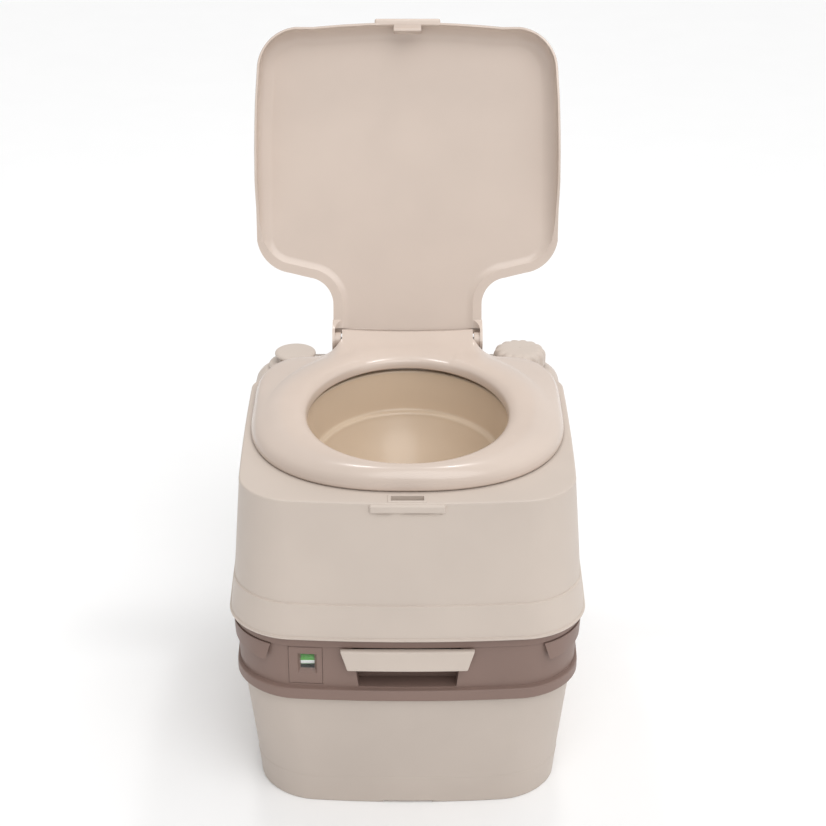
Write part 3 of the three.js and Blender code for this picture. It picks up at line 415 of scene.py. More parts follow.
def moulded(name, tone, rough, grain=0.05, specular=0.5, coat=0.0, variation=0.03):
    """Moulded plastic: faint mottling in the colour, uneven gloss and a fine surface grain."""
    material, tree, shader, position = new_material(name)
    cloudy = noise(tree, position, 9.0, 3.0)
    mottle(tree, cloudy, shade(tone, 1 - variation), shade(tone, 1 + variation), shader)

    patches = noise(tree, position, 45.0, 4.0)
    link(tree, spread(tree, patches, rough - 0.05, rough + 0.05), shader.inputs["Roughness"])

    fine = noise(tree, position, GRAIN_SCALE, 2.0)
    bump = tree.nodes.new("ShaderNodeBump")
    bump.inputs["Strength"].default_value = grain
    bump.inputs["Distance"].default_value = 0.0003
    link(tree, fine, bump.inputs["Height"])
    link(tree, bump.outputs["Normal"], shader.inputs["Normal"])

    shader.inputs["Specular IOR Level"].default_value = specular
    shader.inputs["Coat Weight"].default_value = coat
    shader.inputs["Coat Roughness"].default_value = 0.12
    return material


def height_of(tree, position):
    """The Z part of a position."""
    node = tree.nodes.new("ShaderNodeSeparateXYZ")
    link(tree, position, node.inputs["Vector"])
    return node.outputs["Z"]


def gauge_drum_painted_highlight():
    """The gauge's drum: green, with a white band near the middle of its window that is a painted
    highlight, and darker green towards the top and bottom.
    """
    material, tree, shader, position = new_material("gauge_drum_painted_highlight")
    wobble = noise(tree, position, 500.0, 2.0)
    height = height_of(tree, position)
    low = 0.178
    high = 0.200
    scaled = tree.nodes.new("ShaderNodeMapRange")
    scaled.inputs["From Min"].default_value = low
    scaled.inputs["From Max"].default_value = high
    link(tree, height, scaled.inputs["Value"])
    dark_green = colour(50, 140, 20)
    green = colour(70, 165, 36)
    white = colour(250, 252, 250)

    def at(z):
        return (z - low) / (high - low)

    # The white band is a painted highlight across the drum; the green is darker towards the top and
    # bottom of the window.
    bands = ramp(
        tree,
        scaled.outputs["Result"],
        [
            (0.0, dark_green),
            (at(0.1838), green),
            (at(0.1844), white),
            (at(0.1890), white),
            (at(0.1896), green),
            (1.0, dark_green),
        ],
    )
    link(tree, bands, shader.inputs["Base Color"])
    link(tree, spread(tree, wobble, 0.3, 0.4), shader.inputs["Roughness"])
    return material


def clear_pane():
    """Clear moulded plastic with faint flow marks."""
    material, tree, shader, position = new_material("clear_pane")
    cloudy = noise(tree, position, 60.0)
    mottle(tree, cloudy, colour(244, 248, 244), colour(252, 254, 252), shader)
    link(tree, spread(tree, noise(tree, position, 90.0), 0.03, 0.09), shader.inputs["Roughness"])
    shader.inputs["Alpha"].default_value = 0.04
    return material


def brushed_steel():
    """Drawn stainless steel, with a fine uneven gloss."""
    material, tree, shader, position = new_material("drawn_steel")
    cloudy = noise(tree, position, 700.0, 4.0)
    mottle(tree, cloudy, colour(150, 152, 155), colour(205, 207, 210), shader)
    link(tree, spread(tree, noise(tree, position, 900.0), 0.25, 0.4), shader.inputs["Roughness"])
    shader.inputs["Metallic"].default_value = 1.0
    return material


CREAM = moulded("cream_satin", colour(201, 188, 177), 0.42, grain=0.08, specular=0.4)
CREAM_TANK = moulded("cream_tank", colour(191, 179, 169), 0.48, grain=0.12, specular=0.35)
CREAM_GLOSS = moulded("cream_gloss", colour(206, 190, 178), 0.24, grain=0.03, coat=0.15)
BOWL_CREAM = moulded("bowl_cream", colour(209, 189, 166), 0.3, grain=0.03, coat=0.1)
BROWN = moulded(
    "brown_satin", colour(132, 110, 101), 0.46, grain=0.14, specular=0.35, variation=0.04
)
GREY = moulded("grey_plastic", colour(150, 150, 147), 0.45, grain=0.1)
RUBBER = moulded("black_rubber", colour(38, 37, 36), 0.75, grain=0.3, specular=0.25, variation=0.1)
# Green gauge drum with a painted highlight band.
GAUGE_PAINTED_HIGHLIGHT = gauge_drum_painted_highlight()
CLEAR = clear_pane()
STEEL = brushed_steel()

SLOT_MATERIAL = {
    "cream_body": CREAM,
    "cream_gloss": CREAM_GLOSS,
    "bowl_cream": BOWL_CREAM,
    "brown_trim": BROWN,
    "grey_plastic": GREY,
    "black_rubber": RUBBER,
    "gauge_green": GAUGE_PAINTED_HIGHLIGHT,
    "clear_plastic": CLEAR,
    "steel": STEEL,
}
node_slot = {row["node"]: row["material_slot"] for row in frame["record"]["subparts"]}
node_body = {
    node: body for body, nodes in frame["record"]["behaviour"]["bodies"].items() for node in nodes
}


def place(piece, *nodes, material=None):
    """Puts a piece on the body of the CAD nodes that it stands for, with their slot's material."""
    slot = node_slot[nodes[0]]
    piece.data.materials.clear()
    piece.data.materials.append(material or SLOT_MATERIAL[slot])
    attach(piece, node_body[nodes[0]])
    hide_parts(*nodes)
    return piece


# ---- Waste tank and its band ----


def tank_shell():
    """Hollow lower tank with a rounded foot, a faint ledge near the floor and a notch in front."""
    stack = [(0, PLAN["foot"]), (6, PLAN["foot"]), (TANK_TOP, PLAN["tank"])]
    ledge = 35
    outer = rounded([(6, 0), (0, 0), (0, 12)], [6], 7)
    outer += [Vector((0, z)) for z in (20, ledge - 0.6)]
    outer += [Vector((0.6, ledge + 0.2)), Vector((0.6, ledge + 1))]
    outer += [Vector((0.6, z)) for z in (60, 90, 120)] + [Vector((0.3, TANK_TOP))]
    inner = [Vector((WALL, z)) for z in (TANK_TOP, 110, 60, 14)]
    inner += rounded([(WALL, 13), (WALL, WALL), (WALL + 9, WALL)], [7], 5)
    rings = [layer(plan_at(stack, p.y), p.y, p.x) for p in outer + inner]
    shell = loft("tank_shell", rings)
    notch = box("notch", (-27, 27), (-200, -186), (-1, 2.6))
    cut(shell, notch)
    place(even_shading(shell), "waste_tank", material=CREAM_TANK)


def band_stack():
    return [(LIP_TOP, PLAN["band_low"]), (BAND_TOP, PLAN["band_high"])]


def front_prism(name, outline, span_y):
    """A flat outline in X and Z, carried along Y."""
    return loft(name, [[(x, y, z) for x, z in outline] for y in span_y])


def inside_band(name, span_x, span_y, span_z):
    """A block trimmed to the space within the band's wall."""
    block = box(name, span_x, span_y, span_z)
    levels = (153, BAND_TOP - 0.4)
    inside = loft("inside", [layer(PLAN["band_low"], z, 1.2) for z in levels])
    return combine(block, inside, "INTERSECT")


def latch_gaps(shape):
    """Cuts the fine gap lines ahead of and below each latch."""
    gap_ahead = [(148, 191), (152, 191), (146, BAND_TOP + 1), (139.5, BAND_TOP + 1)]
    gap_below = [(148, 190.4), (170, 191.2), (170, 192.4), (148, 192.4)]
    for side in (-1, 1):
        for gap in (gap_ahead, gap_below):
            outline = [(side * x, z) for x, z in gap]
            cut(shape, front_prism("latch_gap", outline, (-240, -195.8)))


def band():
    """Brown collar of the tank: a rounded lip, then an upright wall with the handle's recess."""
    bottom = TANK_TOP + GAP
    lip_stack = [(bottom, PLAN["lip"]), (LIP_TOP, PLAN["lip"])]
    lip = rounded([(9, bottom), (0, bottom), (0, LIP_TOP - 0.5), (4.4, LIP_TOP)], [2.5, 3.2], 5)
    rings = [layer(plan_at(lip_stack, p.y), p.y, p.x) for p in lip]
    wall_levels = (LIP_TOP + 0.4, 164, 176, 190, 204, BAND_TOP - 0.8)
    rings += [layer(plan_at(band_stack(), z), z) for z in wall_levels]
    rings.append(layer(PLAN["band_high"], BAND_TOP, 0.8))
    rings += [layer(plan_at(band_stack(), z), z, WALL) for z in (BAND_TOP, 190, LIP_TOP)]
    rings.append(layer(PLAN["band_low"], LIP_TOP - 4, WALL + 3))
    rings.append(layer(PLAN["band_low"], bottom, 12))
    shape = loft("band", rings, loop=True)

    recess_back = -183
    add(shape, inside_band("pocket_wall", (-74, 74), (-240, recess_back + WALL), (152, 230)))
    recess_top = 58.5
    recess = [(-52, 162), (52, 162), (recess_top, BAND_TOP + 1), (-recess_top, BAND_TOP + 1)]
    cut(
        shape,
        front_prism("recess", recess, (-240, recess_back)),
        box("blade_slot", (-57, 57), (-240, -170), (195, 200.5)),
    )
    add(shape, inside_band("tray", (-150, 72), (157, 240), (LIP_TOP, BAND_TOP)))
    cut(
        shape,
        box("tray_space", (-147, 69), (160, 260), (LIP_TOP + WALL, BAND_TOP + 5)),
        turned("swivel_hole", [(SPOUT_RADIUS + 1.5, 100), (SPOUT_RADIUS + 1.5, 230)], SPOUT_AT),
        box("gauge_hole", (-126.3, -89.7), (-240, -150), (163.7, 210.3)),
        box("groove", (184, 200), (-52, -8), (192, 198.5)),
        box("groove", (-200, -184), (-52, -8), (192, 198.5)),
    )
    latch_gaps(shape)
    place(soften(shape, 0.5, 2, 50), "tank_band")


def handle():
    """Trapezoid pull with a rounded upper edge; its face follows the bow of the front."""
    top_half = 71
    bottom_half = 63.5
    low = 187
    high = 211.5
    back = -206.8
    columns = 24
    corners = [(back, low), (0, low), (0, high), (back, high)]
    section = rounded(corners, [2.2, 3.2], 5)
    rings = []
    for i in range(columns + 1):
        share = 2 * i / columns - 1
        ring = []
        for depth, z in section:
            x = share * lerp(bottom_half, top_half, (z - low) / (high - low))
            y = back if depth < back / 2 else front_y(PLAN["handle"], x) - depth
            ring.append((x, y, z))
        rings.append(ring)
    place(soften(loft("handle", rings), 1.2, 3, 50), "valve_handle")


def front_y(plan, x):
    """The Y of a plan's bowed front face at an X."""
    half_width, half_depth, _ = plan
    return -half_depth + FRONT_BOW * (x / half_width) ** 2


def gauge_frame():
    """Cover of the level gauge, with a sloping edge round its window."""
    span_x = (-126, -90)
    span_z = (164, 210)
    window_x = (-116, -96)
    window_z = (177, 201.5)
    step = 2.6
    clear_z = (181, 199.2)

    def ring(x_span, z_span, depth):
        """A rectangle that lies on the band's front, moved back by depth."""
        count = 12
        (x0, x1), (z0, z1) = x_span, z_span
        points = [(lerp(x0, x1, i / count), z0) for i in range(count)]
        points += [(x1, lerp(z0, z1, i / count)) for i in range(count)]
        points += [(lerp(x1, x0, i / count), z1) for i in range(count)]
        points += [(x0, lerp(z1, z0, i / count)) for i in range(count)]
        return [(x, front_y(plan_at(band_stack(), z), x) + depth, z) for x, z in points]

    def grow(span, by):
        return (span[0] - by, span[1] + by)

    rings = [
        ring(span_x, span_z, WALL),
        ring(span_x, span_z, 0.5),
        ring(grow(span_x, -0.5), grow(span_z, -0.5), 0),
        ring(grow(window_x, 0.5), grow(window_z, 0.5), 0),
        ring(window_x, window_z, 0.5),
        ring(grow(window_x, -step), clear_z, WALL + 1.8),
        ring(grow(window_x, -step), clear_z, WALL + 2.2),
        ring(grow(window_x, -0.2), grow(window_z, -0.2), WALL + 0.2),
    ]
    place(even_shading(loft("gauge_frame", rings, loop=True)), "gauge_panel")


# ---- Flush tank: case, bowl, strip and latches ----


def deck_column(inset):
    """Everything above the deck's own outline, moved in by inset."""
    levels = (330, 400)
    corner = REAR_CORNER - inset
    centre_x = PLAN["deck"][0] + 2 - REAR_CORNER
    centre_y = REAR_Y - REAR_CORNER
    right = arc((centre_x, centre_y), corner, 0, 90, 24)
    left = [(-x, y) for x, y in reversed(right)]
    outline = [*right, *left, (-centre_x - corner, -260), (centre_x + corner, -260)]
    column = loft("column", [[(x, y, z) for x, y in outline] for z in levels])
    tail_half = TAIL_HALF - inset
    add(column, box("tail", (-tail_half, tail_half), (0, 260), levels))
    return column


def above_shelves(inset):
    """What is missing above the two rear shelves, beside the deck's tail."""
    top = SHELF_TOP - inset
    rings = [layer(PLAN["deck"], top - SHELF_EDGE - 10, inset - 6)]
    for i in range(10):
        turn = math.pi / 2 * i / 9
        reach = inset - 2 + (SHELF_EDGE + 2) * (1 - math.cos(turn))
        rings.append(layer(PLAN["deck"], top - SHELF_EDGE * (1 - math.sin(turn)), reach))
    low = top - SHELF_EDGE - 5
    space = box("space", (-210, 210), (40, 230), (low, DECK_TOP + 5))
    cut(space, loft("shelves", rings), deck_column(inset))
    return space


def case_walls():
    """The case's outside as a solid, from rim to deck, and the space inside it."""
    flare_top = blend_plan(PLAN["step"], PLAN["deck"], 0.3)
    stack = [
        (RIM_BOTTOM + 3, PLAN["rim"]),
        (STEP_Z, PLAN["step"]),
        (300, flare_top),
        (DECK_TOP - 6, PLAN["deck"]),
    ]
    bead = [(2.5, 0), (-1.2, 0), (-1.8, 2.0), (0.4, 3.0), (0, 6)]
    ledge = [(-0.6, 258), (-1.0, STEP_Z), (0.6, STEP_Z + 0.8), (0.2, STEP_Z + 8)]
    deck_edge = [(0, DECK_TOP - 8), (0, DECK_TOP), (9, DECK_TOP)]
    outer = rounded([(x, RIM_BOTTOM + z) for x, z in bead], [0.8, 0.8, 0.5], 4)
    outer += [Vector((-0.3, z)) for z in (238, 250)]
    outer += rounded(ledge, [0.4, 0.3], 3)
    outer += [Vector((0, z)) for z in (283, 300, 320, 345, 368)]
    outer += rounded(deck_edge, [2.4], 6)
    outside = loft("case", [layer(plan_at(stack, p.y), p.y, p.x) for p in outer])
    inner_levels = (RIM_BOTTOM - 2, RIM_BOTTOM + 3, STEP_Z, 300, 340, DECK_TOP - WALL)
    inside = loft("inside", [layer(plan_at(stack, z), z, WALL) for z in inner_levels])
    return outside, inside


def case():
    """Upper moulding: rim, flared skirt with a fine ledge, walls, deck and two rear shelves."""
    shape, inside = case_walls()
    cut(shape, above_shelves(0))
    cut(inside, above_shelves(WALL))
    hole = (BOWL_TOP[0] + 4, BOWL_TOP[1] + 4)
    hole_levels = (DECK_TOP - WALL - 12, DECK_TOP + 12)
    bowl_hole = loft("bowl_hole", [ellipse(*hole, z) for z in hole_levels])

    slot_frame = rounded_block("slot_frame", (-20.5, 20.5), (-203, -187), (380, 384.9), 1.0)
    cut(shape, inside, bowl_hole)
    add(shape, slot_frame)
    cut(
        shape,
        box("catch_slot", (-17, 17), (-199.5, -190), (374, 390)),
        turned("pump_hole", [(19, SHELF_TOP - 20), (19, SHELF_TOP + 10)], PUMP_AT),
        turned("fill_hole", [(25.3, SHELF_TOP - 20), (25.3, SHELF_TOP + 10)], FILL_AT),
    )
    catch_floor = box("catch_floor", (-19, 19), (-201, -188), (373, 376))
    grip = rounded_block("grip", (-39, 39), (-208.5, -200.5), (373.5, 382.8), 2.6)
    add(shape, catch_floor, grip)
    for left, right in ((-50, -30), (30, 50)):
        add(shape, hinge_post(left, right))
    bore = turned("bore", [(4.3, 0), (4.3, 130)], (0, 0), 32)
    lie_along_x(bore, HINGE.y, HINGE.z, -65)
    cut(shape, bore)
    place(soften(shape, 0.5, 2, 45), "flush_tank_case")


def rounded_block(name, span_x, span_y, span_z, radius):
    """A block with rounded edges."""
    block = box(name, span_x, span_y, span_z)
    bevel = block.modifiers.new("edges", "BEVEL")
    bevel.width = radius * MM
    bevel.segments = 5
    bpy.context.view_layer.update()
    return finished_mesh(block)


def hinge_post(left, right):
    """A post for the hinge pins, with a round head."""
    half = 5.5
    head = [
        (HINGE.y + 8 * math.cos(math.radians(a)), HINGE.z + 8 * math.sin(math.radians(a)))
        for a in range(-45, 226, 15)
    ]
    outline = [(HINGE.y + half, DECK_TOP - 1), *head, (HINGE.y - half, DECK_TOP - 1)]
    return loft("post", [[(x, y, z) for y, z in outline] for x in (left, right)])


def bowl():
    """Deep bowl with an upright upper wall, a fine ledge, and a funnel down to the outlet."""
    half_width, half_length = BOWL_TOP
    outlet = OUTLET_RADIUS + WALL
    outer = [
        (outlet, outlet, BAND_TOP + GAP),
        (outlet, outlet, 236),
        (62, 70, 256),
        (88, 103, 298),
        (104, 124, 334),
        (111, 131, 341),
        (half_width + WALL, half_length + WALL, DECK_TOP + GAP),
    ]
    flange = [(9, GAP), (9, 1.6), (8, 2.5), (6, 2.8), (2, 2.8), (0.5, 2.2)]
    outer += [(half_width + out, half_length + out, DECK_TOP + rise) for out, rise in flange]
    ledge = [
        (0.2, 0.2, DECK_TOP),
        (1.7, 2.3, 370),
        (3.3, 4.6, 355),
        (4.6, 6.4, 343.5),
        (5.2, 7.2, 341.2),
        (6.6, 8.8, 340.2),
        (9.4, 11.6, 339.9),
        (11, 13.2, 339.2),
        (12, 14.2, 337),
    ]
    wall = [(half_width - in_x, half_length - in_y, z) for in_x, in_y, z in ledge]
    funnel = smooth_curve(
        [
            Vector((101, 120.8, 336)),
            Vector((94, 111, 318)),
            Vector((84, 98, 299)),
            Vector((72, 82, 277)),
            Vector((59, 66, 258)),
            Vector((50, 52, 246)),
            Vector((43.5, 44, 238)),
        ],
        4,
    )
    neck = [(OUTLET_RADIUS, OUTLET_RADIUS, z) for z in (234, 222, BAND_TOP + GAP)]
    rows = outer + wall + [tuple(p) for p in funnel] + neck
    shape = loft("bowl_form", [ellipse(a, b, z) for a, b, z in rows], loop=True)
    jet_hole = box("jet_hole", (-13, 13), (-17, 23), (-5, 5))
    turn = Matrix.Rotation(math.radians(120), 4, "Z")
    jet_hole.data.transform(Matrix.Translation(NOZZLE_AT * MM) @ turn)
    cut(shape, jet_hole)
    place(even_shading(shape), "bowl")


def trim_strip():
    """Brown strip between the case and the band, with the latch lugs below it."""
    bottom = BAND_TOP + GAP
    top = RIM_BOTTOM - GAP
    outer = rounded([(2, bottom), (0, bottom), (0, top), (2, top)], [1.2, 0.8], 4)
    rings = [layer(PLAN["trim"], p.y, p.x) for p in outer]
    rings += [layer(PLAN["trim"], z, 5.8) for z in (top, 227.7)]
    rings += [layer(PLAN["trim"], z, 10) for z in (227.7, bottom)]
    shape = loft("trim_strip", rings, loop=True)
    for side in (-1, 1):
        for span in ((-62, -54), (-8, 0)):
            reach = sorted((side * 187.7, side * 191.3))
            add(shape, box("lug", reach, span, (206.9, bottom + 1.5)))
    place(soften(shape, 0.3, 1, 50), "trim_ring")


def latch(name, side):
    """Latch lever round a front corner: proud at its front end, fading into the band."""
    z_low = 192
    z_high = 211.6
    start_x = 145
    slant = 6
    end_y = 20
    outer = dense_corner(PLAN["latch_out"], start_x, end_y)
    inner = dense_corner(PLAN["latch_in"], start_x, end_y)
    rows = 10
    rings = []
    for i, (out, inn) in enumerate(zip(outer, inner)):
        share = i / (len(outer) - 1)
        out_column = []
        in_column = []
        for row in range(rows + 1):
            rise = row / rows
            z = lerp(z_low, z_high, rise)
            fade = smoothstep(0.12, 0.55, share) * (1 - 0.75 * rise)
            at = Vector(out).lerp(Vector(inn), 0.8 * fade)
            shift = slant * (1 - rise) * (1 - smoothstep(0.0, 0.3, share))
            out_column.append((side * (at.x + shift), at.y + 0.06 * shift, z))
            in_column.append((side * (inn[0] + shift), inn[1] + 0.06 * shift, z))
        rings.append(out_column + list(reversed(in_column)))
    shape = loft(name, rings)
    for span in ((-62.6, -53.4), (-8.6, 0.6)):
        reach = sorted((side * 180, side * 200))
        cut(shape, box("slot", reach, span, (206.2, 216)))
    place(soften(shape, 0.7, 3, 50), name)


def dense_corner(plan, start_x, end_y):
    """The part of a plan's outline from its front, round a corner, to a point on its side."""
    corner = [p for p in plan_outline(plan) if p[0] > start_x + 0.5 and p[1] < 0]
    corner.sort(key=lambda p: math.atan2(p[1] + 100, p[0] - 60))
    path = [(start_x, front_at(plan, start_x)), *corner]
    last = (plan[0] - SIDE_BOW * (end_y / plan[1]) ** 2, end_y)
    return [p for p in path if p[1] < end_y - 4] + [last]


def front_at(plan, x):
    """Y of a plan's outline at an X near a front corner, by interpolation along its outline."""
    points = sorted(p for p in plan_outline(plan) if p[1] < -plan[1] * 0.5 and p[0] > 0)
    for (x0, y0), (x1, y1) in zip(points, points[1:]):
        if x0 <= x <= x1:
            return lerp(y0, y1, (x - x0) / (x1 - x0))
    return points[-1][1]


# ---- Pump and filler ----


def pump():
    """Domed collar on its shelf, with the round knob just above it."""
    knob_bottom = 14
    section = [
        (5.6, 2.3),
        (24.3, 2.3),
        (24.3, GAP),
        (30.5, GAP),
        (31.2, 1.4),
        (31.3, 3.4),
        (30.6, 4.9),
        (28.6, 6.2),
        (23.0, 7.6),
        (20.4, 8.6),
        (19.4, 10),
        (19.2, knob_bottom - GAP),
        (5.6, knob_bottom - GAP),
        (5.6, 2.3),
    ]
    collar = [(radius, SHELF_TOP + rise) for radius, rise in section]
    place(even_shading(turned("pump_ring", collar, PUMP_AT, 96)), "pump_collar")
    low = SHELF_TOP + knob_bottom
    knob = smooth_curve(
        [
            Vector((20, low)),
            Vector((22.6, low + 0.6)),
            Vector((24, low + 2.6)),
            Vector((23.4, low + 4.6)),
            Vector((20.6, low + 5.8)),
            Vector((14, low + 6.2)),
            Vector((6, low + 6.4)),
        ],
        5,
    )
    profile = [(0, low), *[tuple(p) for p in knob], (0, low + 6.4)]
    place(even_shading(turned("pump_button", profile, PUMP_AT, 96)), "pump_knob")


def fluted(radius, flute, z, flutes=14):
    """Round outline with shallow flutes, at a height."""
    count = 12 * flutes
    ring = []
    for i in range(count):
        angle = 2 * math.pi * i / count
        lobe = 1 - abs(math.sin(flutes * angle / 2)) ** 3 * 2
        r = radius + flute * lobe
        ring.append((FILL_AT[0] + r * math.cos(angle), FILL_AT[1] + r * math.sin(angle), z))
    return ring


def filler():
    """Fluted cap over the filler's neck."""
    neck_top = 16
    low = 2.6
    cap = [
        (26.4, 0.0, low),
        (29.4, 0.5, low),
        (29.9, 0.6, low + 0.6),
        (29.9, 0.8, low + 4),
        (29.8, 1.0, neck_top - 2),
        (29.0, 1.3, neck_top + 1.5),
        (27.4, 1.4, neck_top + 4.4),
        (25.4, 1.3, neck_top + 6.2),
        (22.6, 1.0, neck_top + 7.4),
        (19.0, 0.5, neck_top + 8.0),
        (12.0, 0.1, neck_top + 8.3),
        (1.0, 0.0, neck_top + 8.4),
        (1.0, 0.0, neck_top + 2.6),
        (24.0, 0.0, neck_top + 2.6),
        (26.0, 0.0, neck_top + 2.0),
    ]
    rings = [fluted(radius, flute, SHELF_TOP + rise) for radius, flute, rise in cap]
    place(even_shading(loft("filler_lid", rings, loop=True)), "fill_cap")
    section = [
        (22.5, -38),
        (25, -38),
        (25, GAP),
        (28.5, GAP),
        (28.5, 1.6),
        (28, 2),
        (25, 2),
        (25, neck_top - 0.5),
        (24.5, neck_top),
        (22.9, neck_top),
        (22.5, neck_top - 0.4),
        (22.5, -38),
    ]
    neck = [(radius, SHELF_TOP + rise) for radius, rise in section]
    place(even_shading(turned("filler_neck", neck, FILL_AT, 96)), "fill_neck")


# ---- Seat ----

OPENING = (109.5, 130.5)
SEAT_SHOULDER = (112, 125)
SEAT_REAR_S = 33.5
SEAT_WIDEST_S = 176
SEAT_WIDE = 171
SEAT_FRONT = 344
NECK_BACK = 172
SEAT_LOW = DECK_TOP + 1.2
RING_WIDTH = 60


def soft_quarter(centre, half_x, half_s, towards, steps):
    """Quarter of a superellipse, squarer than an ellipse, from its side to its end."""
    power = 2 / 2.4
    points = []
    for i in range(steps + 1):
        angle = math.pi / 2 * i / steps
        x = centre[0] + half_x * math.cos(angle) ** power
        s = centre[1] + towards * half_s * max(math.sin(angle), 0) ** power
        points.append((x, s))
    return points


def seat_half():
    """Right half of the seat's outline with how far each point belongs to the hinge neck."""
    shoulder_x, shoulder_s = SEAT_SHOULDER
    back_s = HINGE.y - NECK_BACK
    flare_s = 14
    rows = [((NECK_HALF * i / 12, back_s), 1.0) for i in range(12)]
    corner = arc((NECK_HALF - 4, back_s + 4), 4, -90, 0, 4)
    rows += [(p, 1.0) for p in corner]
    rows += [((NECK_HALF, lerp(back_s + 4, flare_s, i / 5)), 1.0) for i in range(1, 5)]
    start = Vector((NECK_HALF, flare_s))
    bend = Vector((NECK_HALF + 9, SEAT_REAR_S))
    end = Vector((shoulder_x, SEAT_REAR_S))
    for i in range(16):
        t = i / 16
        at = start * (1 - t) ** 2 + bend * 2 * t * (1 - t) + end * t**2
        rows.append((tuple(at), 1 - smoothstep(0.0, 1.0, t)))
    half_x = SEAT_WIDE - shoulder_x
    rear = soft_quarter(SEAT_SHOULDER, half_x, shoulder_s - SEAT_REAR_S, -1, 24)
    rows += [(p, 0.0) for p in reversed(rear)]
    rows += [((SEAT_WIDE, s), 0.0) for s in between(shoulder_s, SEAT_WIDEST_S, 5)]
    front = soft_quarter((0, SEAT_WIDEST_S), SEAT_WIDE, SEAT_FRONT - SEAT_WIDEST_S, 1, 40)
    rows += [(p, 0.0) for p in front]
    return rows


def spread_share(share, length):
    """Keeps the crest near the opening and the rolled edge narrow where the seat is broad."""
    keep = min(1, RING_WIDTH / length)
    crest_end = 0.78
    roll_start = 0.9
    if share <= crest_end:
        return share * keep
    if share >= roll_start:
        return 1 - (1 - share) * keep
    across = (share - crest_end) / (roll_start - crest_end)
    return lerp(crest_end * keep, 1 - (1 - roll_start) * keep, across)


def neck_height(x, y):
    """Height of the hinge cover's top: a rise from the ring, then round the hinge."""
    y = min(y, NECK_BACK - 0.5)
    ring_end = 111
    round_start = 157
    dip = 2.6 * (1 - (x / NECK_HALF) ** 2) * smoothstep(118, 160, y)
    if y >= round_start:
        return HINGE.z + math.sqrt(13**2 - (y - HINGE.y) ** 2) - dip
    rise = max(y - ring_end, 0) / (round_start - ring_end)
    return HINGE.z + 4 + 7.53 * rise**2.4 - dip


SEAT_SECTION = [
    (p.x, p.y)
    for p in smooth_curve(
        [
            Vector((0.0, 392)),
            Vector((0.006, 397.5)),
            Vector((0.035, 402.2)),
            Vector((0.13, 405.8)),
            Vector((0.27, 407.3)),
            Vector((0.45, 407.3)),
            Vector((0.62, 405.9)),
            Vector((0.78, 402.6)),
            Vector((0.9, 398.4)),
            Vector((0.97, 393.5)),
            Vector((1.0, 388.5)),
        ],
        4,
    )
]


def ring_height(share):
    """Height of the seat's top from the opening (0) to its outer edge (1)."""
    for (a, za), (b, zb) in zip(SEAT_SECTION, SEAT_SECTION[1:]):
        if share <= b:
            return lerp(za, zb, (share - a) / (b - a))
    return SEAT_SECTION[-1][1]


def seat_edge_bottom(out, neck):
    """Height of the seat's lower edge: low round the ring, rising behind the hinge."""
    behind = smoothstep(145, NECK_BACK, out.y)
    return lerp(SEAT_LOW, neck_height(out.x, out.y) - 3, behind * neck)


def seat_top(inner, out, neck):
    """Points over the top of the seat, from the opening to the outer edge."""
    length = (out - inner).length
    points = []
    for share, ring_z in SEAT_SECTION:
        stretched = lerp(spread_share(share, length), 1 - (1 - share) ** 1.6, neck)
        at = inner.lerp(out, stretched)
        rise = neck * smoothstep(0.15, 0.5, share)
        points.append((at.x, at.y, lerp(ring_z, neck_height(at.x, at.y), rise)))
    return points


def seat_underside(inner, out, neck, bottom):
    """Points of the hollow underside, from the outer edge back to the opening."""
    edge = 1 - 2.6 / (out - inner).length
    points = []
    for t, drop in ((edge, 0), (edge - 0.03, 3), (0.7, 3.2), (0.4, 3.2), (0.1, 3.2)):
        at = inner.lerp(out, t)
        ring_z = ring_height(min(t, 0.93)) - drop - 0.8
        z = lerp(ring_z, neck_height(at.x, at.y) - 2, neck * smoothstep(0.15, 0.5, t))
        points.append((at.x, at.y, bottom if t == edge else z))
    at = inner.lerp(out, 0.05)
    return [*points, (at.x, at.y, 391.6)]


def seat():
    """Seat ring with broad rear shoulders, whose crest runs up into the cover over the hinge."""
    half = seat_half()
    outline = half + [((-x, s), neck) for (x, s), neck in reversed(half[1:-1])]
    rings = []
    for (x, s), neck in outline:
        out = Vector((x, HINGE.y - s))
        angle = math.atan2((out.y - BOWL_Y) / OPENING[1], out.x / OPENING[0])
        inner = Vector((OPENING[0] * math.cos(angle), BOWL_Y + OPENING[1] * math.sin(angle)))
        top = seat_top(inner, out, neck)
        bottom = seat_edge_bottom(out, neck)
        edge = [(out.x, out.y, lerp(top[-1][2], bottom, t)) for t in (0.5, 1)]
        rings.append(top + edge + seat_underside(inner, out, neck, bottom))
    place(even_shading(loft("seat_ring", rings, loop=True)), "seat")


# ---- Lid, drawn closed in hinge coordinates: s ahead of the axis, n above it ----


def lid_half(inset, back_s):
    """Right half of the lid's outline, moved in by inset, from the neck's back to the front."""
    neck = 88 - inset
    waist = 31 + inset
    shoulder = 45 - inset
    corner = 50 - inset

    def side_x(s):
        return 178 - inset - 3.2 * ((s - 215) / 100) ** 2

    def front_s(x):
        return 368 - inset - 5.5 * (x / 110) ** 2

    points = [(neck * i / 8, back_s) for i in range(8)]
    points += [(neck, back_s), (neck, lerp(back_s, 42, 0.5))]
    points += arc((119, 42), waist, 180, 98, 14)
    points += arc((132.5, 123), shoulder, -82, -8, 16)
    points += [(side_x(s), s) for s in between(123, 313, 11)[1:-1]]
    points += arc((124.5, 313), corner, 4, 84, 16)
    points += [(x, front_s(x)) for x in between(118, 0, 12)]
    points.append((0, front_s(0)))
    return points


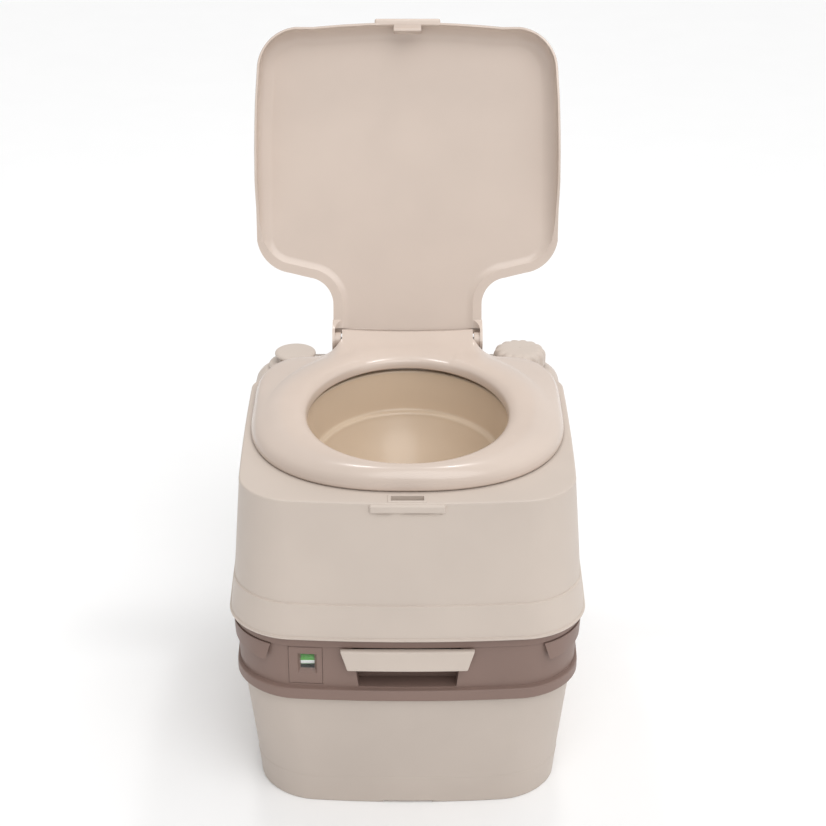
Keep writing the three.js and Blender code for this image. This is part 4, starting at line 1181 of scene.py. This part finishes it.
def lid_place(x, s, n):
    """A point of the closed lid, turned about the hinge to where it stands open."""
    y = -s
    open_y = y * math.cos(LID_OPEN) + n * math.sin(LID_OPEN)
    open_z = -y * math.sin(LID_OPEN) + n * math.cos(LID_OPEN)
    return (x, HINGE.y + open_y, HINGE.z + open_z)


def lid_ring(inset, n, back_s=14):
    half = lid_half(inset, back_s)
    full = half + [(-x, s) for x, s in reversed(half[1:-1])]
    return [lid_place(x, s, n) for x, s in full]


def lid_box(name, span_x, span_s, span_n, radius=0.0):
    """A block of the closed lid, with rounded edges if a radius is given."""
    ys = (-span_s[1], -span_s[0])
    if radius:
        block = rounded_block(name, span_x, ys, span_n, radius)
    else:
        block = box(name, span_x, ys, span_n)
    open_up(block)
    return block


def open_up(piece):
    """Turns a piece drawn for the closed lid about the hinge to where the lid stands open."""
    turn = Matrix.Rotation(-LID_OPEN, 4, "X")
    piece.data.transform(Matrix.Translation(HINGE * MM) @ turn)


LID_EDGE = -17
REAR_RIM = 6.2
CHEEK_RIM = -9


def lid_prism(name, outline, span_x):
    """A flat outline of (s, n) points, carried along X, placed on the open lid."""
    return loft(name, [[lid_place(x, s, n) for s, n in outline] for x in span_x])


def lid():
    """Domed tray with soft inner fillets, cheeks at the hinge, a finger bar and a catch tab."""
    edge = LID_EDGE
    outer = rounded([(0.8, edge), (0, edge + 2), (1.0, 12), (14, 12)], [1.5, 6], 8)
    shape = loft("lid_tray", [lid_ring(p.x, p.y) for p in outer])
    fillet_start = -8
    panel = 9
    hollow = [(2.6, edge - 1), (2.8, edge + 3), (3.2, fillet_start)]
    for i in range(1, 13):
        turn = math.pi / 2 * i / 12
        inset = 3.2 + 17 * (1 - math.cos(turn))
        hollow.append((inset, fillet_start + (panel - fillet_start) * math.sin(turn)))
    inner = loft("hollow", [lid_ring(inset, n, 10) for inset, n in hollow])
    cut(shape, inner)
    rim_step = [(12.5, edge - 2), (12.5, CHEEK_RIM), (24, REAR_RIM), (92, REAR_RIM)]
    for i in range(1, 13):
        share = i / 12
        rim_step.append((lerp(92, 210, share), lerp(REAR_RIM, edge - 0.5, smoothstep(0, 1, share))))
    rim_step.append((210, edge - 2))
    cut(shape, lid_prism("rim_step", rim_step, (-200, 200)))
    panel_back = [(7.5, 12), (7.5, 11), (10.5, panel), (20, panel), (20, 12)]
    add(shape, lid_prism("panel_back", panel_back, (-86, 86)))
    for side in (-1, 1):
        add(shape, lid_cheek(side))
    bore = turned("bore", [(4.3, 0), (4.3, 190)], (0, 0), 40)
    lie_along_x(bore, HINGE.y, HINGE.z, -95)
    cut(shape, bore)
    finger_bar = lid_box("finger_bar", (-38, 38), (364, 372), (edge, edge + 8), 2.4)
    tab = lid_box("tab", (-16, 16), (357, 360), (edge - 5, 10), 0.8)
    tab_root = lid_box("tab_root", (-16, 16), (357.5, 366.5), (edge + 0.2, edge + 3.2), 0.6)
    add(shape, finger_bar, tab, tab_root)
    place(soften(shape, 0.8, 3, 50), "lid")


def lid_cheek(side):
    """Side of the lid's neck, running down past the hinge to a rounded end, with its boss."""
    end_radius = 12
    outline = [(12.5, CHEEK_RIM), (24, REAR_RIM), (24, 10.5)]
    for degrees in range(80, 271, 10):
        turn = math.radians(degrees)
        outline.append((end_radius * math.cos(turn), end_radius * math.sin(turn)))
    cheek = lid_prism("cheek", outline, sorted((side * 85, side * 88)))
    boss = turned("boss", [(9.5, 0), (9.5, 8)], (0, 0), 40)
    lie_along_x(boss, HINGE.y, HINGE.z, 78 if side > 0 else -86)
    add(cheek, boss)
    return cheek


# ---- Spout at the back ----


def tube_path(name, path, outer, inner, count=40):
    """A pipe of round section along a path of points."""
    rings = []
    for radius, points in ((outer, path), (inner, list(reversed(path)))):
        for i, at in enumerate(points):
            before = points[max(i - 1, 0)]
            after = points[min(i + 1, len(points) - 1)]
            along = (after - before).normalized()
            side = Vector((0, 1, 0))
            up = along.cross(side).normalized()
            if radius == inner:
                up = -up
            ring = []
            for k in range(count):
                angle = 2 * math.pi * k / count
                ring.append(at + side * radius * math.cos(angle) + up * radius * math.sin(angle))
            rings.append(ring)
    return loft(name, rings, loop=True)


def spout_elbow():
    """Upright pipe that bends into the long arm, with its swivel collar."""
    x, y = SPOUT_AT
    bend = 16
    path = [Vector((x, y, z)) for z in (148, 158, SPOUT_Z - bend)]
    path += [
        Vector((x + bend * (1 - math.cos(a)), y, SPOUT_Z - bend + bend * math.sin(a)))
        for a in (math.pi / 2 * i / 10 for i in range(1, 11))
    ]
    path += [Vector((x + reach, y, SPOUT_Z)) for reach in (40, 80, SPOUT_REACH)]
    pipe = tube_path("spout_pipe", path, SPOUT_RADIUS, SPOUT_RADIUS - 2.5)
    tray_floor = LIP_TOP + WALL
    section = [(-1, GAP), (4, GAP), (4, 1.5), (3.5, 2), (-1, 2), (-1, GAP)]
    profile = [(SPOUT_RADIUS + out, tray_floor + rise) for out, rise in section]
    collar = turned("collar", profile, SPOUT_AT)
    add(pipe, collar)
    place(soften(pipe, 0.4, 2, 45), "spout_elbow")


def spout_cap():
    """Ribbed cup over the spout's end."""
    x, y = SPOUT_AT
    start = x + SPOUT_REACH - 14
    radius = 20.5
    ribs = 24

    def ribbed(base, depth, along):
        """A ribbed circle square to the spout's arm."""
        ring = []
        count = 8 * ribs
        for i in range(count):
            angle = 2 * math.pi * i / count
            r = base - depth * (0.5 + 0.5 * math.cos(ribs * angle)) ** 2
            ring.append((start + along, y + r * math.cos(angle), SPOUT_Z + r * math.sin(angle)))
        return ring

    rows = [
        (18, 0, 0),
        (radius - 0.6, 0, 0),
        (radius, 0.2, 0.6),
        (radius, 0.9, 2.5),
        (radius, 0.9, 23),
        (radius - 0.3, 0.5, 25.5),
        (radius - 1.5, 0, 27.4),
        (radius - 3, 0, 28),
        (1, 0, 28),
        (1, 0, 25),
        (18, 0, 25),
    ]
    cup = loft("spout_cup", [ribbed(*row) for row in rows], loop=True)
    place(even_shading(cup), "spout_cap")


# ---- CAD nodes that stay ----


def dress_cad_nodes():
    """Gives the CAD nodes that stay visible their slot's material and smooth shading."""
    for name, node in frame["nodes"].items():
        if node.hide_render:
            continue
        material = SLOT_MATERIAL[node_slot[name]]
        node.data.materials.clear()
        node.data.materials.append(material)
        smooth = node.modifiers.new("edges", "EDGE_SPLIT")
        smooth.split_angle = math.radians(40)
        for polygon in node.data.polygons:
            polygon.use_smooth = True


# ---- Floor, light and camera ----


def pale_floor():
    """Plain floor, off-white, well past the picture's edges."""
    floor_half = 20.0
    mesh = bpy.data.meshes.new("floor")
    corners = [(-1, -1, 0), (1, -1, 0), (1, 1, 0), (-1, 1, 0)]
    mesh.from_pydata([Vector(c) * floor_half for c in corners], [], [(0, 1, 2, 3)])
    floor = bpy.data.objects.new("floor", mesh)
    bpy.context.scene.collection.objects.link(floor)
    white = (0.97, 0.97, 0.97, 1.0)
    paper = moulded("floor_paper", white, 0.9, grain=0.0, specular=0.0, variation=0.005)
    mesh.materials.append(paper)


def soft_light():
    """Light from all round, stronger from the right, with a broad sun and two lamps above."""
    world = bpy.data.worlds.new("studio")
    bpy.context.scene.world = world
    world.use_nodes = True
    tree = world.node_tree
    background = tree.nodes["Background"]
    background.inputs["Color"].default_value = (1.0, 1.0, 1.0, 1.0)
    direction = tree.nodes.new("ShaderNodeTexCoord").outputs["Generated"]
    sideways = tree.nodes.new("ShaderNodeSeparateXYZ")
    link(tree, direction, sideways.inputs["Vector"])
    strength = tree.nodes.new("ShaderNodeMapRange")
    strength.inputs["From Min"].default_value = -1.0
    strength.inputs["To Min"].default_value = 0.4
    strength.inputs["To Max"].default_value = 0.92
    link(tree, sideways.outputs["X"], strength.inputs["Value"])
    link(tree, strength.outputs["Result"], background.inputs["Strength"])

    overhead = bpy.data.lights.new("overhead", "SUN")
    overhead.energy = 1.2
    overhead.angle = math.radians(50)
    sun = bpy.data.objects.new("overhead", overhead)
    bpy.context.scene.collection.objects.link(sun)
    sun.rotation_euler = (math.radians(35), math.radians(12), 0)

    centre = Vector((0, 0, 0.38))
    for side in (-1, 1):
        area_light("softbox", (side * 0.42, 0.5, 2.3), centre, 0.22, 5)


def camera_in_front():
    """Camera ahead of the toilet and above it, looking down at it by 26 degrees."""
    camera = bpy.data.objects.new("camera", bpy.data.cameras.new("camera"))
    bpy.context.scene.collection.objects.link(camera)
    camera.location = (0, -1.988, 1.356)
    camera.rotation_euler = (math.radians(90 - 26), 0, 0)
    camera.data.sensor_width = 36
    camera.data.lens = 87.17
    camera.data.shift_x = 0.0067
    bpy.context.scene.camera = camera
    bpy.context.scene.view_settings.view_transform = "Standard"


def area_light(name, location, target, size, power):
    """A square lamp that faces a target."""
    data = bpy.data.lights.new(name, "AREA")
    data.shape = "SQUARE"
    data.size = size
    data.energy = power
    lamp = bpy.data.objects.new(name, data)
    bpy.context.scene.collection.objects.link(lamp)
    lamp.location = location
    direction = target - Vector(location)
    lamp.rotation_euler = direction.to_track_quat("-Z", "Y").to_euler()


tank_shell()
band()
handle()
gauge_frame()
case()
bowl()
trim_strip()
latch("latch_right", 1)
latch("latch_left", -1)
pump()
filler()
seat()
lid()
spout_elbow()
spout_cap()
dress_cad_nodes()
pale_floor()
soft_light()
camera_in_front()
